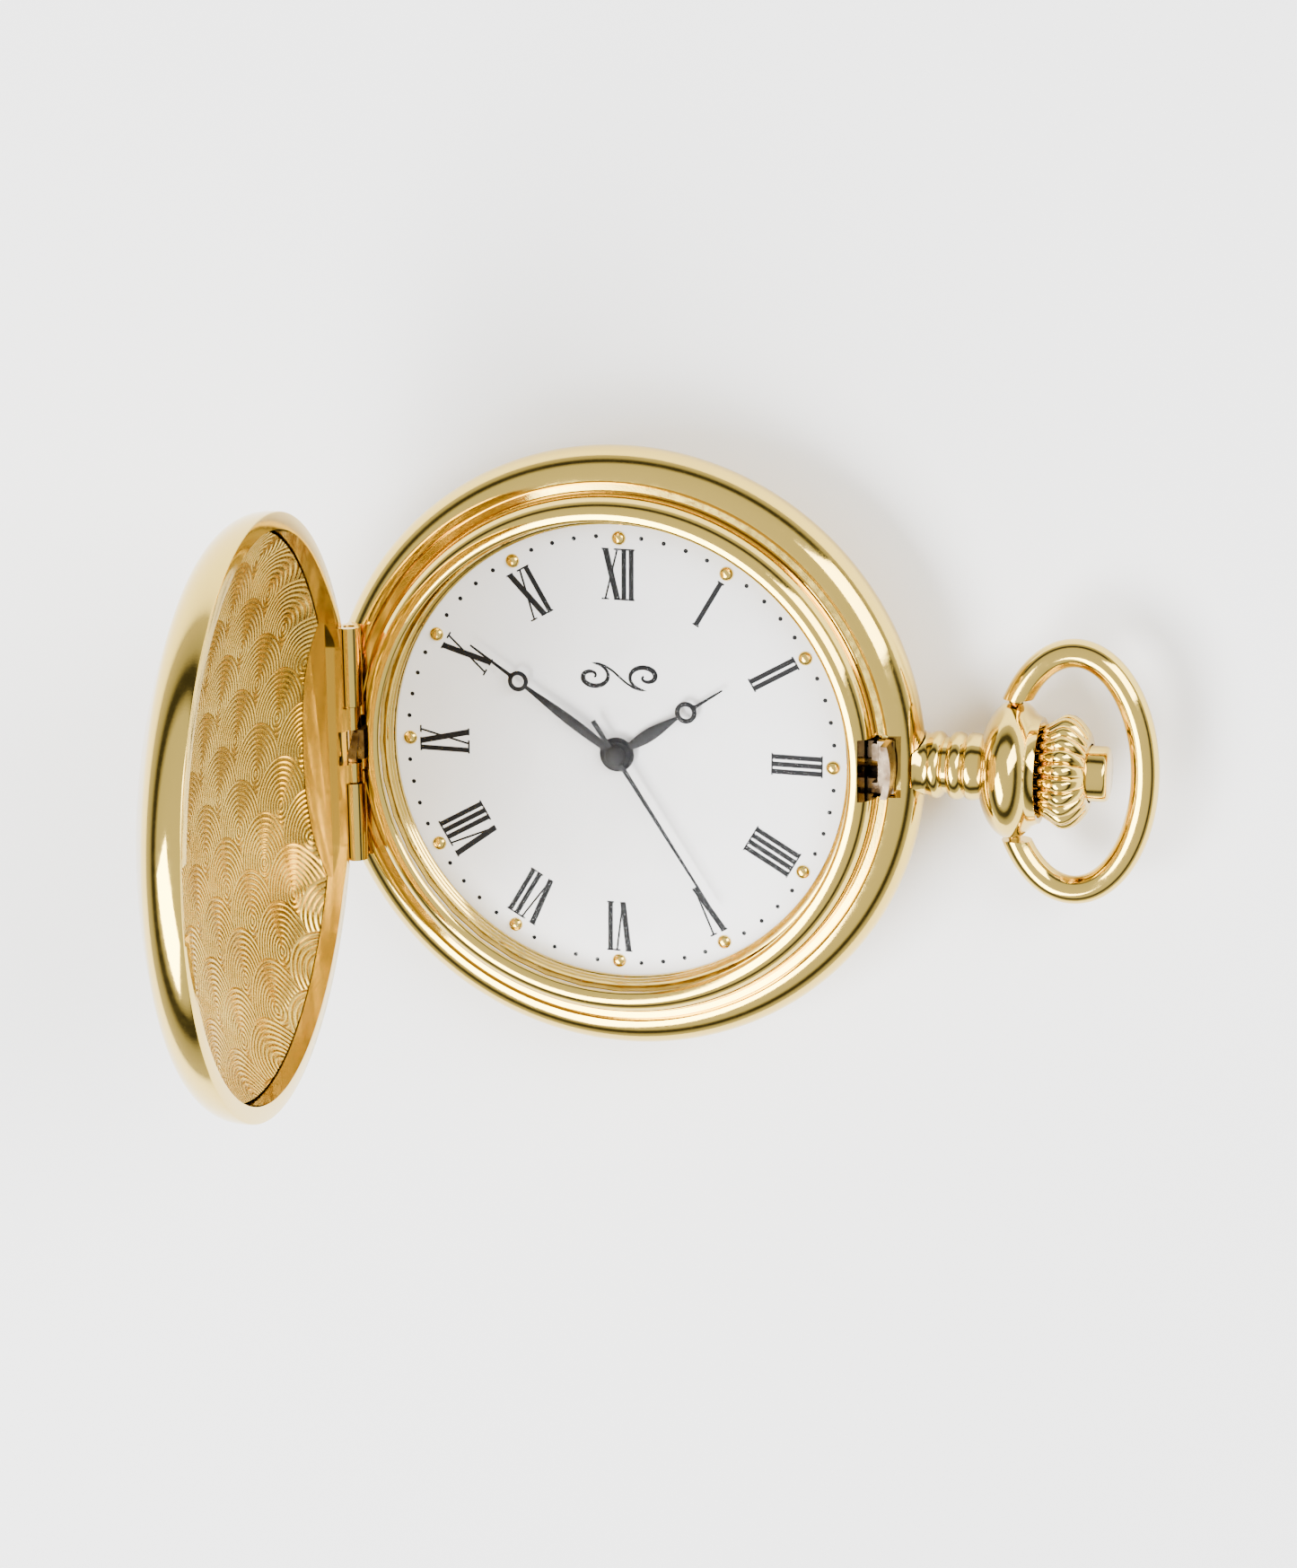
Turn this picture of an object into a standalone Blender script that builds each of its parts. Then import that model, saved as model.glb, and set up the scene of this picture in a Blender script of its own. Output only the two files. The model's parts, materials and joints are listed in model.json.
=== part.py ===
"""Full-hunter quartz pocket watch, lying on its back with the sprung lid standing open.

Sizes below are in millimetres, and the helpers turn them into Blender's metres. The origin is the centre
of the flat of the back cover, +Z runs up through the dial, +X runs out along the pendant and +Y points to
twelve o'clock. The lid is modelled closed and hangs from an empty on its hinge, which turns it open.
"""

import math

import bmesh
import bpy
from mathutils import Matrix, Vector

MM = 0.001
GAP = 0.1
RING_STEPS = 40
SMALL_STEPS = 24
TINY_STEPS = 12

# Heights count from the case's datum plane, this far above the flat of the back.
DATUM = 1.1

# Case.
DIAL_FACE = 6.4
CASE_BORE = 20.25
BEAD_CENTRE = (21.4, 5.15)
BEAD_RADIUS = 2.3
BAND_TOP = 7.3
CASE_BOTTOM = 2.6
SKIRT_RADIUS = CASE_BORE - 0.15
BEZEL_RADIUS = 20.5
BEZEL_CREST = (19.15, 9.22)
BEZEL_LIP = (18.55, 9.0)
SEAT_RADIUS = 19.1
CRYSTAL_BOTTOM = 7.85
CRYSTAL_EDGE = 8.55
BACK_FLAT = 13.0

# Lid and its hinge. The lid's own heights count from the plane of its rim.
HINGE_X = -20.95
HINGE_Z = 8.15
LID_OPEN = math.radians(86)
LID_RIM = 8.45
LID_RADIUS = 22.3
LID_BORE = 21.0
LID_EDGE = 0.7
SHOULDER = 3.0
DOME_RADIUS = 50.0
LID_WALL = 0.75
CHORD_X = -20.2
BLOCK_X = -18.4
BLOCK_FOOT_X = -19.55
BLOCK_STEP = 9.35
KNUCKLE = 0.93
LID_KNUCKLE = 0.7
KNUCKLE_SPLIT = 3.0
HINGE_HALF = 9.3
PIN_RADIUS = 0.35
SPRING_NOTCH = (-1.5, 1.2)

# Pendant, crown, button and bow share one axis along X.
AXIS_Z = 4.5
TUBE_RADIUS = 1.3
SLEEVE_RADIUS = 0.95
STEM_RADIUS = 0.5
CROWN_END = 36.1
LATCH_WINDOW = (-2.0, 2.8)
CROWN_RIDGES = 22
FLUTE_DEPTH = 0.93
CROSS_PIN_X = 32.5
BUTTON_TRAVEL = 0.67
BOW_PIVOT_X = 30.4
BOW_CENTRE_X = 34.85
BOW_HALF = (5.35, 9.2)
BOW_WIRE = 1.08
BOW_GAP_Y = 5.5

# Springs inside the case: a strip on the case wall with an eye at one end and a post at the other.
STRIP = (19.3, 19.9)
STRIP_Z = (3.6, 5.6)
EYE_RADIUS = 19.35
EYE_SWEEP = math.radians(60)

# Movement, with the level of the underside of each wheel.
MOVEMENT_RADIUS = 12.0
PLATE = (5.0, 5.25)
BRIDGE = (2.2, 2.6)
WHEEL_THICK = 0.2
PIVOT = 0.2
CENTRE_LEVEL = 4.55
THIRD_LEVEL = 3.95
SECONDS_LEVEL = 3.35
FIFTH_LEVEL = 2.8
MOTION_LEVEL = 5.35
HOUR_LEVEL = 5.6
TRAIN_DISTANCE = 4.6
FIFTH_DISTANCE = 4.62
ROTOR_DISTANCE = 3.42
MOTION_DISTANCE = 3.12
THIRD_ANGLE = math.radians(120)
FIFTH_ANGLE = math.radians(215)
ROTOR_ANGLE = math.radians(270)
BATTERY_AT = (5.5, 5.9)
BATTERY_RADIUS = 3.4
SETTING_X = 6.5
LEVER_PIVOT = (10.4, 2.6)
YOKE_PIVOT = (9.5, -2.6)

# Teeth of each pair, driven wheel first.
CENTRE_TEETH, THIRD_PINION = 48, 6
THIRD_TEETH, SECONDS_PINION = 45, 6
SECONDS_TEETH, FIFTH_PINION = 36, 6
FIFTH_TEETH, ROTOR_PINION = 30, 6
MINUTE_TEETH, CANNON_LEAVES = 36, 12
HOUR_TEETH, MINUTE_LEAVES = 40, 10
SETTING_TEETH = 16

# The dial sits this far clockwise in its case.
DIAL_TURN = math.radians(0.8)

# The time shown, ten minutes to two, as turns clockwise from twelve.
HOUR_TURN = math.radians(55.8)
MINUTE_TURN = math.radians(304.4)
SECOND_TURN = math.radians(146.7)

COLLECTIONS = {}
FINISHES = {}


def clear_scene():
    for obj in list(bpy.data.objects):
        bpy.data.objects.remove(obj, do_unlink=True)
    for name in ("pocket_watch", "cutters"):
        COLLECTIONS[name] = bpy.data.collections.new(name)
        bpy.context.scene.collection.children.link(COLLECTIONS[name])


def add_finish(name, colour, metallic, roughness, transmission=0.0):
    material = bpy.data.materials.new(name)
    material.use_nodes = True
    shader = material.node_tree.nodes["Principled BSDF"]
    shader.inputs["Base Color"].default_value = (*colour, 1.0)
    shader.inputs["Metallic"].default_value = metallic
    shader.inputs["Roughness"].default_value = roughness
    shader.inputs["Transmission Weight"].default_value = transmission
    FINISHES[name] = material


def add_finishes():
    add_finish("polished_gold", (0.83, 0.60, 0.25), 1.0, 0.12)
    add_finish("satin_gold", (0.78, 0.53, 0.20), 1.0, 0.35)
    add_finish("spring_steel", (0.42, 0.40, 0.38), 1.0, 0.30)
    add_finish("brass", (0.72, 0.52, 0.24), 1.0, 0.30)
    add_finish("black_paint", (0.01, 0.01, 0.012), 0.0, 0.35)
    add_finish("white_enamel", (0.86, 0.86, 0.84), 0.0, 0.25)
    add_finish("mineral_glass", (0.97, 0.98, 0.98), 0.0, 0.02, 1.0)
    add_finish("nitrile", (0.02, 0.02, 0.02), 0.0, 0.70)
    add_finish("clear_nylon", (0.75, 0.75, 0.72), 0.0, 0.50)
    add_finish("black_nylon", (0.02, 0.02, 0.022), 0.0, 0.50)
    add_finish("copper_wire", (0.72, 0.30, 0.14), 1.0, 0.35)
    add_finish("circuit_green", (0.02, 0.16, 0.07), 0.0, 0.40)


def add_object(name, data, finish, at=(0, 0, 0), group="pocket_watch"):
    obj = bpy.data.objects.new(name, data)
    COLLECTIONS[group].objects.link(obj)
    obj.location = Vector((at[0], at[1], at[2] + DATUM)) * MM
    if finish:
        data.materials.append(FINISHES[finish])
    if group == "cutters":
        obj.hide_render = True
        obj.display_type = "WIRE"
    return obj


def along(obj, axis):
    """Turns a piece that was made about Z so that its +Z lies along the given axis."""
    turns = {"X": (0, math.pi / 2, 0), "Y": (-math.pi / 2, 0, 0), "Z": (0, 0, 0)}
    obj.rotation_euler = turns[axis]
    return obj


def turned(name, profile, finish, at=(0, 0, 0), axis="Z", steps=RING_STEPS, group="pocket_watch"):
    """A turned piece from (radius, height) points that run down its outer side.

    A profile that starts and ends on the axis is a solid, and any other one is closed into a ring.
    """
    mesh = bpy.data.meshes.new(name)
    edges = [(i, i + 1) for i in range(len(profile) - 1)]
    if profile[0][0] > 0:
        edges.append((len(profile) - 1, 0))
    mesh.from_pydata([(r * MM, 0, z * MM) for r, z in profile], edges, [])
    obj = along(add_object(name, mesh, finish, at, group), axis)
    screw = obj.modifiers.new("Screw", "SCREW")
    screw.steps = screw.render_steps = steps
    screw.use_merge_vertices = True
    screw.merge_threshold = 0.000001
    return obj


def ring(name, inner, outer, low, high, finish, **more):
    return turned(name, [(inner, high), (outer, high), (outer, low), (inner, low)], finish, **more)


def disc(name, radius, low, high, finish, **more):
    return turned(name, [(0, high), (radius, high), (radius, low), (0, low)], finish, **more)


def cutter(obj):
    """Moves an object that only shapes another one out of the parts."""
    for collection in list(obj.users_collection):
        collection.objects.unlink(obj)
    COLLECTIONS["cutters"].objects.link(obj)
    obj.hide_render = True
    obj.display_type = "WIRE"
    return obj


def block(name, low, high, finish=None, group="cutters"):
    mesh = bpy.data.meshes.new(name)
    made = bmesh.new()
    bmesh.ops.create_cube(made, size=1.0)
    size = Matrix.Diagonal([(b - a) * MM for a, b in zip(low, high)]).to_4x4()
    centre = Matrix.Translation([(a + b) / 2 * MM for a, b in zip(low, high)])
    bmesh.ops.transform(made, matrix=centre @ size, verts=made.verts)
    made.to_mesh(mesh)
    made.free()
    return add_object(name, mesh, finish, group=group)


def rod(name, radius, low, high, axis="Z", at=(0, 0, 0), steps=SMALL_STEPS, finish=None, group="cutters"):
    return disc(name, radius, low, high, finish, at=at, axis=axis, steps=steps, group=group)


def boolean(obj, operation, *others):
    for other in others:
        modifier = obj.modifiers.new(other.name, "BOOLEAN")
        modifier.operation = operation
        modifier.object = cutter(other)
    return obj


def cut(obj, *others):
    return boolean(obj, "DIFFERENCE", *others)


def fuse(obj, *others):
    return boolean(obj, "UNION", *others)


def as_mesh(obj):
    """Replaces a curve by the same shape as a mesh, with its loose caps welded on."""
    bpy.context.view_layer.update()
    graph = bpy.context.evaluated_depsgraph_get()
    mesh = bpy.data.meshes.new_from_object(obj.evaluated_get(graph))
    welded = bmesh.new()
    welded.from_mesh(mesh)
    bmesh.ops.remove_doubles(welded, verts=welded.verts, dist=0.000001)
    welded.to_mesh(mesh)
    welded.free()
    name, group, place = obj.name, obj.users_collection[0].name, obj.matrix_world.copy()
    bpy.data.objects.remove(obj, do_unlink=True)
    mesh.name = name
    new = add_object(name, mesh, None, group=group)
    new.matrix_world = place
    return new


def flat(name, outlines, low, high, finish, at=(0, 0), turn=0.0, axis="Z", group="pocket_watch"):
    """A flat piece between two heights, from its outline and the outlines of its holes."""
    curve = bpy.data.curves.new(name, "CURVE")
    curve.dimensions = "2D"
    curve.fill_mode = "BOTH"
    curve.extrude = (high - low) / 2 * MM
    for outline in outlines:
        spline = curve.splines.new("POLY")
        spline.points.add(len(outline) - 1)
        for point, (x, y) in zip(spline.points, outline):
            point.co = (x * MM, y * MM, 0, 1)
        spline.use_cyclic_u = True
    middle = (low + high) / 2
    if axis == "X":
        obj = along(add_object(name, curve, finish, (middle, *at), group), "X")
    else:
        obj = add_object(name, curve, finish, (*at, middle), group)
        obj.rotation_euler[2] = turn
    return as_mesh(obj)


def circle(radius, steps=SMALL_STEPS, centre=(0, 0)):
    turns = [2 * math.pi * i / steps for i in range(steps)]
    return [(centre[0] + radius * math.cos(t), centre[1] + radius * math.sin(t)) for t in turns]


def arc(centre, radii, start, end, count):
    """Points on a circle or an ellipse, with angles in degrees."""
    turns = [math.radians(start + (end - start) * i / (count - 1)) for i in range(count)]
    return [(centre[0] + radii[0] * math.cos(t), centre[1] + radii[1] * math.sin(t)) for t in turns]


def polar(distance, angle, start=(0, 0)):
    return (start[0] + distance * math.cos(angle), start[1] + distance * math.sin(angle))


# ---------------------------------------------------------------- case


def build_case_middle():
    edge = arc(BEAD_CENTRE, (BEAD_RADIUS, BEAD_RADIUS), 90, -90, 9)
    inner = [(CASE_BORE, BAND_TOP), (21.2, BAND_TOP)]
    profile = inner + edge + [(21.1, CASE_BOTTOM), (CASE_BORE, CASE_BOTTOM)]
    case = turned("case_middle", profile, "polished_gold")
    cut(
        case,
        rod("pendant_hole", TUBE_RADIUS + 0.05, 19, 25, "X", (0, 0, AXIS_Z)),
        block("latch_window", (19.5, LATCH_WINDOW[0], 6.3), (22.2, LATCH_WINDOW[1], 9)),
        block("latch_well", (19.5, LATCH_WINDOW[0], 5.3), (20.55, LATCH_WINDOW[1], 6.4)),
        block("lid_spring_window", (-21.2, -1.8, 5.3), (-19.5, 1.8, 9)),
        block("lug_trough", (-21.2, -3.1, 6.2), (-19.5, 3.1, 9)),
        rod("knuckle_trough", KNUCKLE + 0.12, -9.5, 9.5, "Y", (HINGE_X, 0, HINGE_Z)),
    )
    for side in (-1, 1):
        low, high = sorted((side * (KNUCKLE_SPLIT + GAP), side * HINGE_HALF))
        knuckle = rod(f"knuckle_{side}", KNUCKLE, low, high, "Y", (HINGE_X, 0, HINGE_Z))
        web = block(f"web_{side}", (HINGE_X - 0.5, low, 6.7), (HINGE_X + 0.5, high, HINGE_Z))
        fuse(case, web, knuckle)
    cut(case, rod("pin_bore", PIN_RADIUS + GAP, -10, 10, "Y", (HINGE_X, 0, HINGE_Z), TINY_STEPS))


def build_bezel():
    slope = arc((BEZEL_CREST[0], 7.4), (BEZEL_RADIUS - BEZEL_CREST[0], BEZEL_CREST[1] - 7.4), 90, 0, 6)
    skirt = [(SKIRT_RADIUS, 7.4), (SKIRT_RADIUS, 6.5), (SEAT_RADIUS, 6.5), (SEAT_RADIUS, 8.65)]
    profile = [BEZEL_LIP, (18.8, 9.16)] + slope + skirt + [(BEZEL_LIP[0], 8.65)]
    cut(
        turned("bezel", profile, "polished_gold"),
        block("bezel_latch_window", (19.25, LATCH_WINDOW[0], 6), (22, LATCH_WINDOW[1], 10)),
        block("bezel_trough", (-22, -3.1, 6), (-19.8, 3.1, 10)),
        block("bezel_spring_window", (-22, -1.8, 6), (-19.3, 1.8, 10)),
        block("bezel_chord", (-22, -9.6, BAND_TOP), (-19.4, 9.6, 10)),
    )


def build_crystal():
    dome = arc((0, CRYSTAL_EDGE), (18.4, 0.75), 90, 0, 6)
    profile = dome + [(18.8, CRYSTAL_EDGE), (18.8, CRYSTAL_BOTTOM), (0, CRYSTAL_BOTTOM)]
    profile[0] = (0, dome[0][1])
    turned("crystal", profile, "mineral_glass")
    ring("crystal_gasket", 18.85, SEAT_RADIUS - 0.05, CRYSTAL_BOTTOM, CRYSTAL_EDGE, "clear_nylon")


def build_rehaut():
    steps = [(18.35, 7.75), (19.0, 7.75), (19.0, 6.5), (17.9, 6.5), (18.0, 7.1), (18.2, 7.1)]
    turned("rehaut_ring", steps, "polished_gold")


def build_back():
    inner = [(0, 0), (12.9, 0), (16.2, 0.4), (18.6, 1.2), (19.4, 2.1), (19.4, 3.2)]
    outer = [(SKIRT_RADIUS, 3.2), (SKIRT_RADIUS, 2.5), (21.0, 2.5), (20.7, 1.7), (19.4, 0.6), (16.8, -0.5)]
    turned("back_cover", inner + outer + [(BACK_FLAT, -DATUM), (0, -DATUM)], "polished_gold")
    ring("back_gasket", 19.45, SKIRT_RADIUS, 3.25, 3.5, "nitrile")


def build_dial():
    ring("dial", 0.95, 18.9, DIAL_FACE - 0.4, DIAL_FACE, "white_enamel")
    shell = [(12.2, 5.9), (18.4, 5.9), (18.4, 3.6), (17.8, 3.6), (17.8, 5.1), (13.2, 5.1), (13.2, 3.6)]
    holder = turned("movement_holder", shell + [(12.2, 3.6)], "black_nylon")
    cut(holder, rod("stem_slot", 0.7, 11, 20, "X", (0, 0, AXIS_Z), TINY_STEPS))


# ---------------------------------------------------------------- lid


def dome_profile(offset, largest):
    """The lid's outer surface moved inwards, from its top down to the shoulder's side or a largest radius."""
    centre = LID_RADIUS - SHOULDER
    drop = math.sqrt((DOME_RADIUS - SHOULDER) ** 2 - centre**2) - LID_EDGE
    tangent = math.asin(centre / (DOME_RADIUS - SHOULDER))
    last = math.asin(min(1, (largest - centre) / (SHOULDER - offset)))
    dome = [tangent * i / 6 for i in range(7)]
    side = [tangent + (last - tangent) * i / 4 for i in range(1, 5)]
    points = [((DOME_RADIUS - offset) * math.sin(t), (DOME_RADIUS - offset) * math.cos(t) - drop) for t in dome]
    points += [(centre + (SHOULDER - offset) * math.sin(t), LID_EDGE + (SHOULDER - offset) * math.cos(t)) for t in side]
    return [(r, z + LID_RIM) for r, z in points]


def lid_axis():
    empty = bpy.data.objects.new("lid_axis", None)
    COLLECTIONS["pocket_watch"].objects.link(empty)
    empty.location = Vector((HINGE_X, 0, HINGE_Z + DATUM)) * MM
    empty.rotation_euler[1] = -LID_OPEN
    return empty


def hang(obj, axis):
    """Hangs a piece that was modelled in the closed place on the lid's axis."""
    obj.parent = axis
    obj.location -= axis.location
    return obj


def build_lid():
    axis = lid_axis()
    outer = dome_profile(0, LID_RADIUS) + [(LID_RADIUS, LID_RIM), (0, LID_RIM)]
    inner = dome_profile(LID_WALL, LID_BORE) + [(LID_BORE, LID_RIM - 1), (0, LID_RIM - 1)]
    shell = hang(turned("lid_shell", outer, "polished_gold"), axis)
    cavity = turned("lid_cavity", inner, None, group="cutters")
    face = block("lid_block_face", (-24, -12, BLOCK_STEP), (BLOCK_X, 12, 20))
    foot = block("lid_block_foot", (-25, -13, 6), (BLOCK_FOOT_X, 13, BLOCK_STEP + 0.1))
    cut(hang(cavity, axis), hang(face, axis), hang(foot, axis))
    knuckle = rod("lid_knuckle", LID_KNUCKLE, -KNUCKLE_SPLIT, KNUCKLE_SPLIT, "Y", (HINGE_X, 0, HINGE_Z))
    web = block("lid_web", (HINGE_X, -2.98, HINGE_Z + 0.1), (-19.8, 2.98, HINGE_Z + 0.66))
    cut(shell, cavity, hang(block("lid_chord", (-24, -9.65, 6), (CHORD_X, 9.65, 20)), axis))
    for side in (-1, 1):
        low, high = sorted((side * (KNUCKLE_SPLIT + 0.05), side * 9.65))
        bore = rod(f"cove_{side}", KNUCKLE + 0.12, low, high, "Y", (HINGE_X, 0, HINGE_Z))
        cut(shell, hang(bore, axis))
    fuse(shell, hang(web, axis), hang(knuckle, axis))
    notch = block("spring_notch", (-23, SPRING_NOTCH[0], 6), (-19, SPRING_NOTCH[1], HINGE_Z + 0.75))
    bore = rod("lid_pin_bore", PIN_RADIUS + GAP, -4, 4, "Y", (HINGE_X, 0, HINGE_Z), TINY_STEPS)
    catch = block("catch_notch", (20.5, LATCH_WINDOW[0] - 0.2, 6), (21.9, LATCH_WINDOW[1], LID_RIM + 1))
    cut(shell, hang(notch, axis), hang(bore, axis), hang(catch, axis))
    build_liner(axis)
    rod("hinge_pin", PIN_RADIUS, -9.2, 9.2, "Y", (HINGE_X, 0, HINGE_Z), TINY_STEPS, "brass", "pocket_watch")


def build_liner(axis):
    """The engraved inner plate, a shallow bowl of even thickness that shows when the lid is open."""
    under = [(18.6 * i / 5, 5.6 - (18.6 * i / 5) ** 2 / 128) for i in range(6)]
    under += [(19.8, 2.25), (20.85, 1.4)]
    over = [(r, z + 0.4) for r, z in under]
    profile = [(r, z + LID_RIM) for r, z in over + under[::-1]]
    liner = hang(turned("lid_liner", profile, "satin_gold"), axis)
    cut(liner, hang(block("liner_chord", (-24, -12, 6), (BLOCK_X + GAP, 12, 20)), axis))


# ---------------------------------------------------------------- springs on the case wall


def build_strip_spring(name, tip_turn, blocks, tip, opening=None):
    """A strip that runs round the case wall from an eye, 60 degrees back, to the blocks of its tip.

    It is modelled with its tip on +X and is turned into place about the watch's own axis.
    """
    inner, outer = STRIP
    back = math.degrees(EYE_SWEEP)
    outline = arc((0, 0), (outer, outer), -back, 4, 14) + arc((0, 0), (inner, inner), 4, -back, 14)
    eye_at = polar(EYE_RADIUS, -EYE_SWEEP)
    strip = flat(name, [outline], *STRIP_Z, "spring_steel")
    eye = rod(f"{name}_eye", 0.7, *STRIP_Z, at=(*eye_at, 0), steps=16)
    screw_hole = rod(f"{name}_eye_hole", 0.45, 3, 6, at=(*eye_at, 0), steps=TINY_STEPS)
    shapers = [eye] + [block(f"{name}_{i}", *corners) for i, corners in enumerate(blocks)]
    outline, low, high = tip
    shapers.append(flat(f"{name}_tip", [outline], low, high, None, group="cutters"))
    holes = [screw_hole] + ([block(f"{name}_stem_hole", *opening)] if opening else [])
    fuse(strip, *shapers)
    cut(strip, *holes)
    turn = Matrix.Rotation(tip_turn, 4, "Z")
    bpy.context.view_layer.update()
    for obj in [strip] + shapers + holes:
        obj.matrix_world = turn @ obj.matrix_world
    head = [(0, 5.9), (0.6, 5.9), (0.6, 5.65), (0.35, 5.65), (0.35, 3.65), (0, 3.65)]
    pivot = turn @ Vector((*eye_at, 0))
    turned(f"{name}_screw", head, "spring_steel", at=pivot, steps=TINY_STEPS)


def build_springs():
    pad = ((19.4, -1.75, 3.6), (20.0, 1.95, 5.9))
    lower_arm = ((19.9, -1.8, 5.6), (20.4, -1.05, 6.95))
    upper_arm = ((19.9, 0.7, 5.6), (20.4, 2.0, 6.95))
    shelf = ((20.3, -1.85, 6.5), (21.55, 2.2, 6.9))
    sides = [(21.7 - (y - 0.25) ** 2 / 14, y) for y in (-1.8, -1.2, -0.4, 0.4, 1.2, 1.9, 2.3)]
    hook = sides + [(x - 0.5, y) for x, y in sides[::-1]]
    opening = ((19, -1.0, AXIS_Z - 0.62), (20.36, 0.65, 8))
    build_strip_spring("latch_spring", 0, (pad, lower_arm, upper_arm, shelf), (hook, 6.6, 8.8), opening)
    pad = ((19.4, -1.3, 3.8), (20.0, 1.2, 5.9))
    post = ((19.85, -1.2, 5.6), (20.35, 1.1, 8.65))
    finger = [(20.2, -1.0), (20.7, -1.0), (21.3, 1.15), (20.5, 1.15)]
    build_strip_spring("lid_spring", math.pi, (pad, post), (finger, 8.55, 8.75))


# ---------------------------------------------------------------- pendant, crown, button, bow


def build_pendant():
    at = (0, 0, AXIS_Z)
    bulb = arc((0, 30.3), (5.27, 2.6), 36, 0, 4) + arc((0, 30.3), (5.27, 2.7), -20, -65, 4)
    neck = [(2.5, 27.6), (2.5, 26.8), (2.3, 26.7), (2.55, 26.3), (2.55, 25.7), (2.12, 25.25)]
    flare = [(2.5, 24.8), (2.55, 24.2), (2.4, 23.7), (2.65, 23.2), (2.75, 23.0)]
    bore = [(TUBE_RADIUS + 0.05, 23.0), (TUBE_RADIUS + 0.05, 30.5), (2.6, 30.8), (3.4, 31.5)]
    rim = [(3.6, 32.35), (4.0, 32.4)]
    pendant = turned("pendant", rim + bulb + neck + flare + bore, "polished_gold", at, "X", SMALL_STEPS)
    saddle = arc(BEAD_CENTRE, (BEAD_RADIUS + GAP, BEAD_RADIUS + GAP), 100, -100, 14)
    cut(pendant, turned("saddle", saddle, None, steps=80, group="cutters"))
    for side, name in ((1, "upper"), (-1, "lower")):
        low, high = sorted((side * 3.5, side * 7))
        cut(pendant, rod(f"bow_hole_{name}", 0.55, low, high, "Y", (BOW_PIVOT_X, 0, AXIS_Z), TINY_STEPS))
        low, high = sorted((side * 3.6, side * 6.5))
        place = (BOW_PIVOT_X, 0, AXIS_Z)
        rod(f"bow_pin_{name}", 0.45, low, high, "Y", place, TINY_STEPS, "polished_gold", "pocket_watch")
    tube = {"at": at, "axis": "X", "steps": SMALL_STEPS}
    ring("pendant_tube", 1.05, TUBE_RADIUS, 20.6, 27.5, "brass", **tube)
    ring("stem_gasket", SLEEVE_RADIUS + 0.03, TUBE_RADIUS, 27.6, 28.2, "nitrile", **tube)


def flute(obj, smallest):
    """Sinks every other meridian of a turned piece, outside a radius, into a row of flutes."""
    as_flutes = as_mesh(obj)
    for vertex in as_flutes.data.vertices:
        radius = math.hypot(vertex.co.x, vertex.co.y)
        meridian = round(math.atan2(vertex.co.y, vertex.co.x) * CROWN_RIDGES / math.pi)
        if meridian % 2 and radius > smallest * MM:
            vertex.co.x *= FLUTE_DEPTH
            vertex.co.y *= FLUTE_DEPTH
    return as_flutes


def build_crown():
    at = (CROSS_PIN_X, 0, AXIS_Z)
    outer = [(2.6, 36.1), (3.45, 35.65), (4.1, 35.0), (4.35, 34.3), (4.15, 33.8), (2.9, 31.7)]
    inner = [(1.05, 31.7), (1.05, 33.3), (2.25, 33.3), (2.25, CROWN_END)]
    profile = [(r, x - CROSS_PIN_X) for r, x in inner[-1:] + outer + inner[:-1]]
    flute(turned("crown", profile, "polished_gold", at, "X", 2 * CROWN_RIDGES), 2.8)

    head = [(0, 37.55), (1.8, 37.55), (2.1, 37.25), (2.1, 34.7), (SLEEVE_RADIUS, 34.7), (SLEEVE_RADIUS, 20.3)]
    bore = [(0.65, 20.3), (0.65, 34.4), (0, 34.4)]
    profile = [(r, x - CROSS_PIN_X) for r, x in head + bore]
    button = turned("push_button", profile, "polished_gold", at, "X", SMALL_STEPS)
    cut(button, block("cross_slot", (32.15, -2, AXIS_Z - 0.38), (33.55, 2, AXIS_Z + 0.38)))

    outline = [(0, 33.5), (STEM_RADIUS, 33.5), (STEM_RADIUS, 12.6), (0.45, 12.5), (0.45, 10.25), (0.25, 10.2)]
    outline += [(0.25, 9.3), (0.45, 9.25), (0.45, 8.9), (0.32, 8.8), (0.32, 6.5), (0.2, 6.4), (0.2, 5.9), (0, 5.9)]
    profile = [(r, x - CROSS_PIN_X) for r, x in outline]
    stem = turned("stem", profile, "brass", at, "X", TINY_STEPS)
    fuse(stem, rod("cross_pin", 0.25, -0.97, 0.97, "Y", at, TINY_STEPS))

    teeth = gear_outline(8, 0.2, 0.3)
    flat("clutch_wheel", [teeth, circle(0.42, TINY_STEPS)], 7.75, 8.75, "spring_steel", (0, AXIS_Z), axis="X")
    build_button_spring()


def build_button_spring():
    curve = bpy.data.curves.new("button_spring", "CURVE")
    curve.dimensions = "3D"
    curve.bevel_depth = 0.1 * MM
    curve.bevel_resolution = 2
    curve.use_fill_caps = True
    spline = curve.splines.new("POLY")
    turns, per_turn, first, pitch = 1.5, 12, 33.52, 0.22
    count = int(turns * per_turn) + 1
    spline.points.add(count - 1)
    for i, point in enumerate(spline.points):
        angle = 2 * math.pi * i / per_turn
        x = first + pitch * i / per_turn
        point.co = (x * MM, 1.6 * math.cos(angle) * MM, 1.6 * math.sin(angle) * MM, 1)
    add_object("button_spring", curve, "spring_steel", (0, 0, AXIS_Z))


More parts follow.
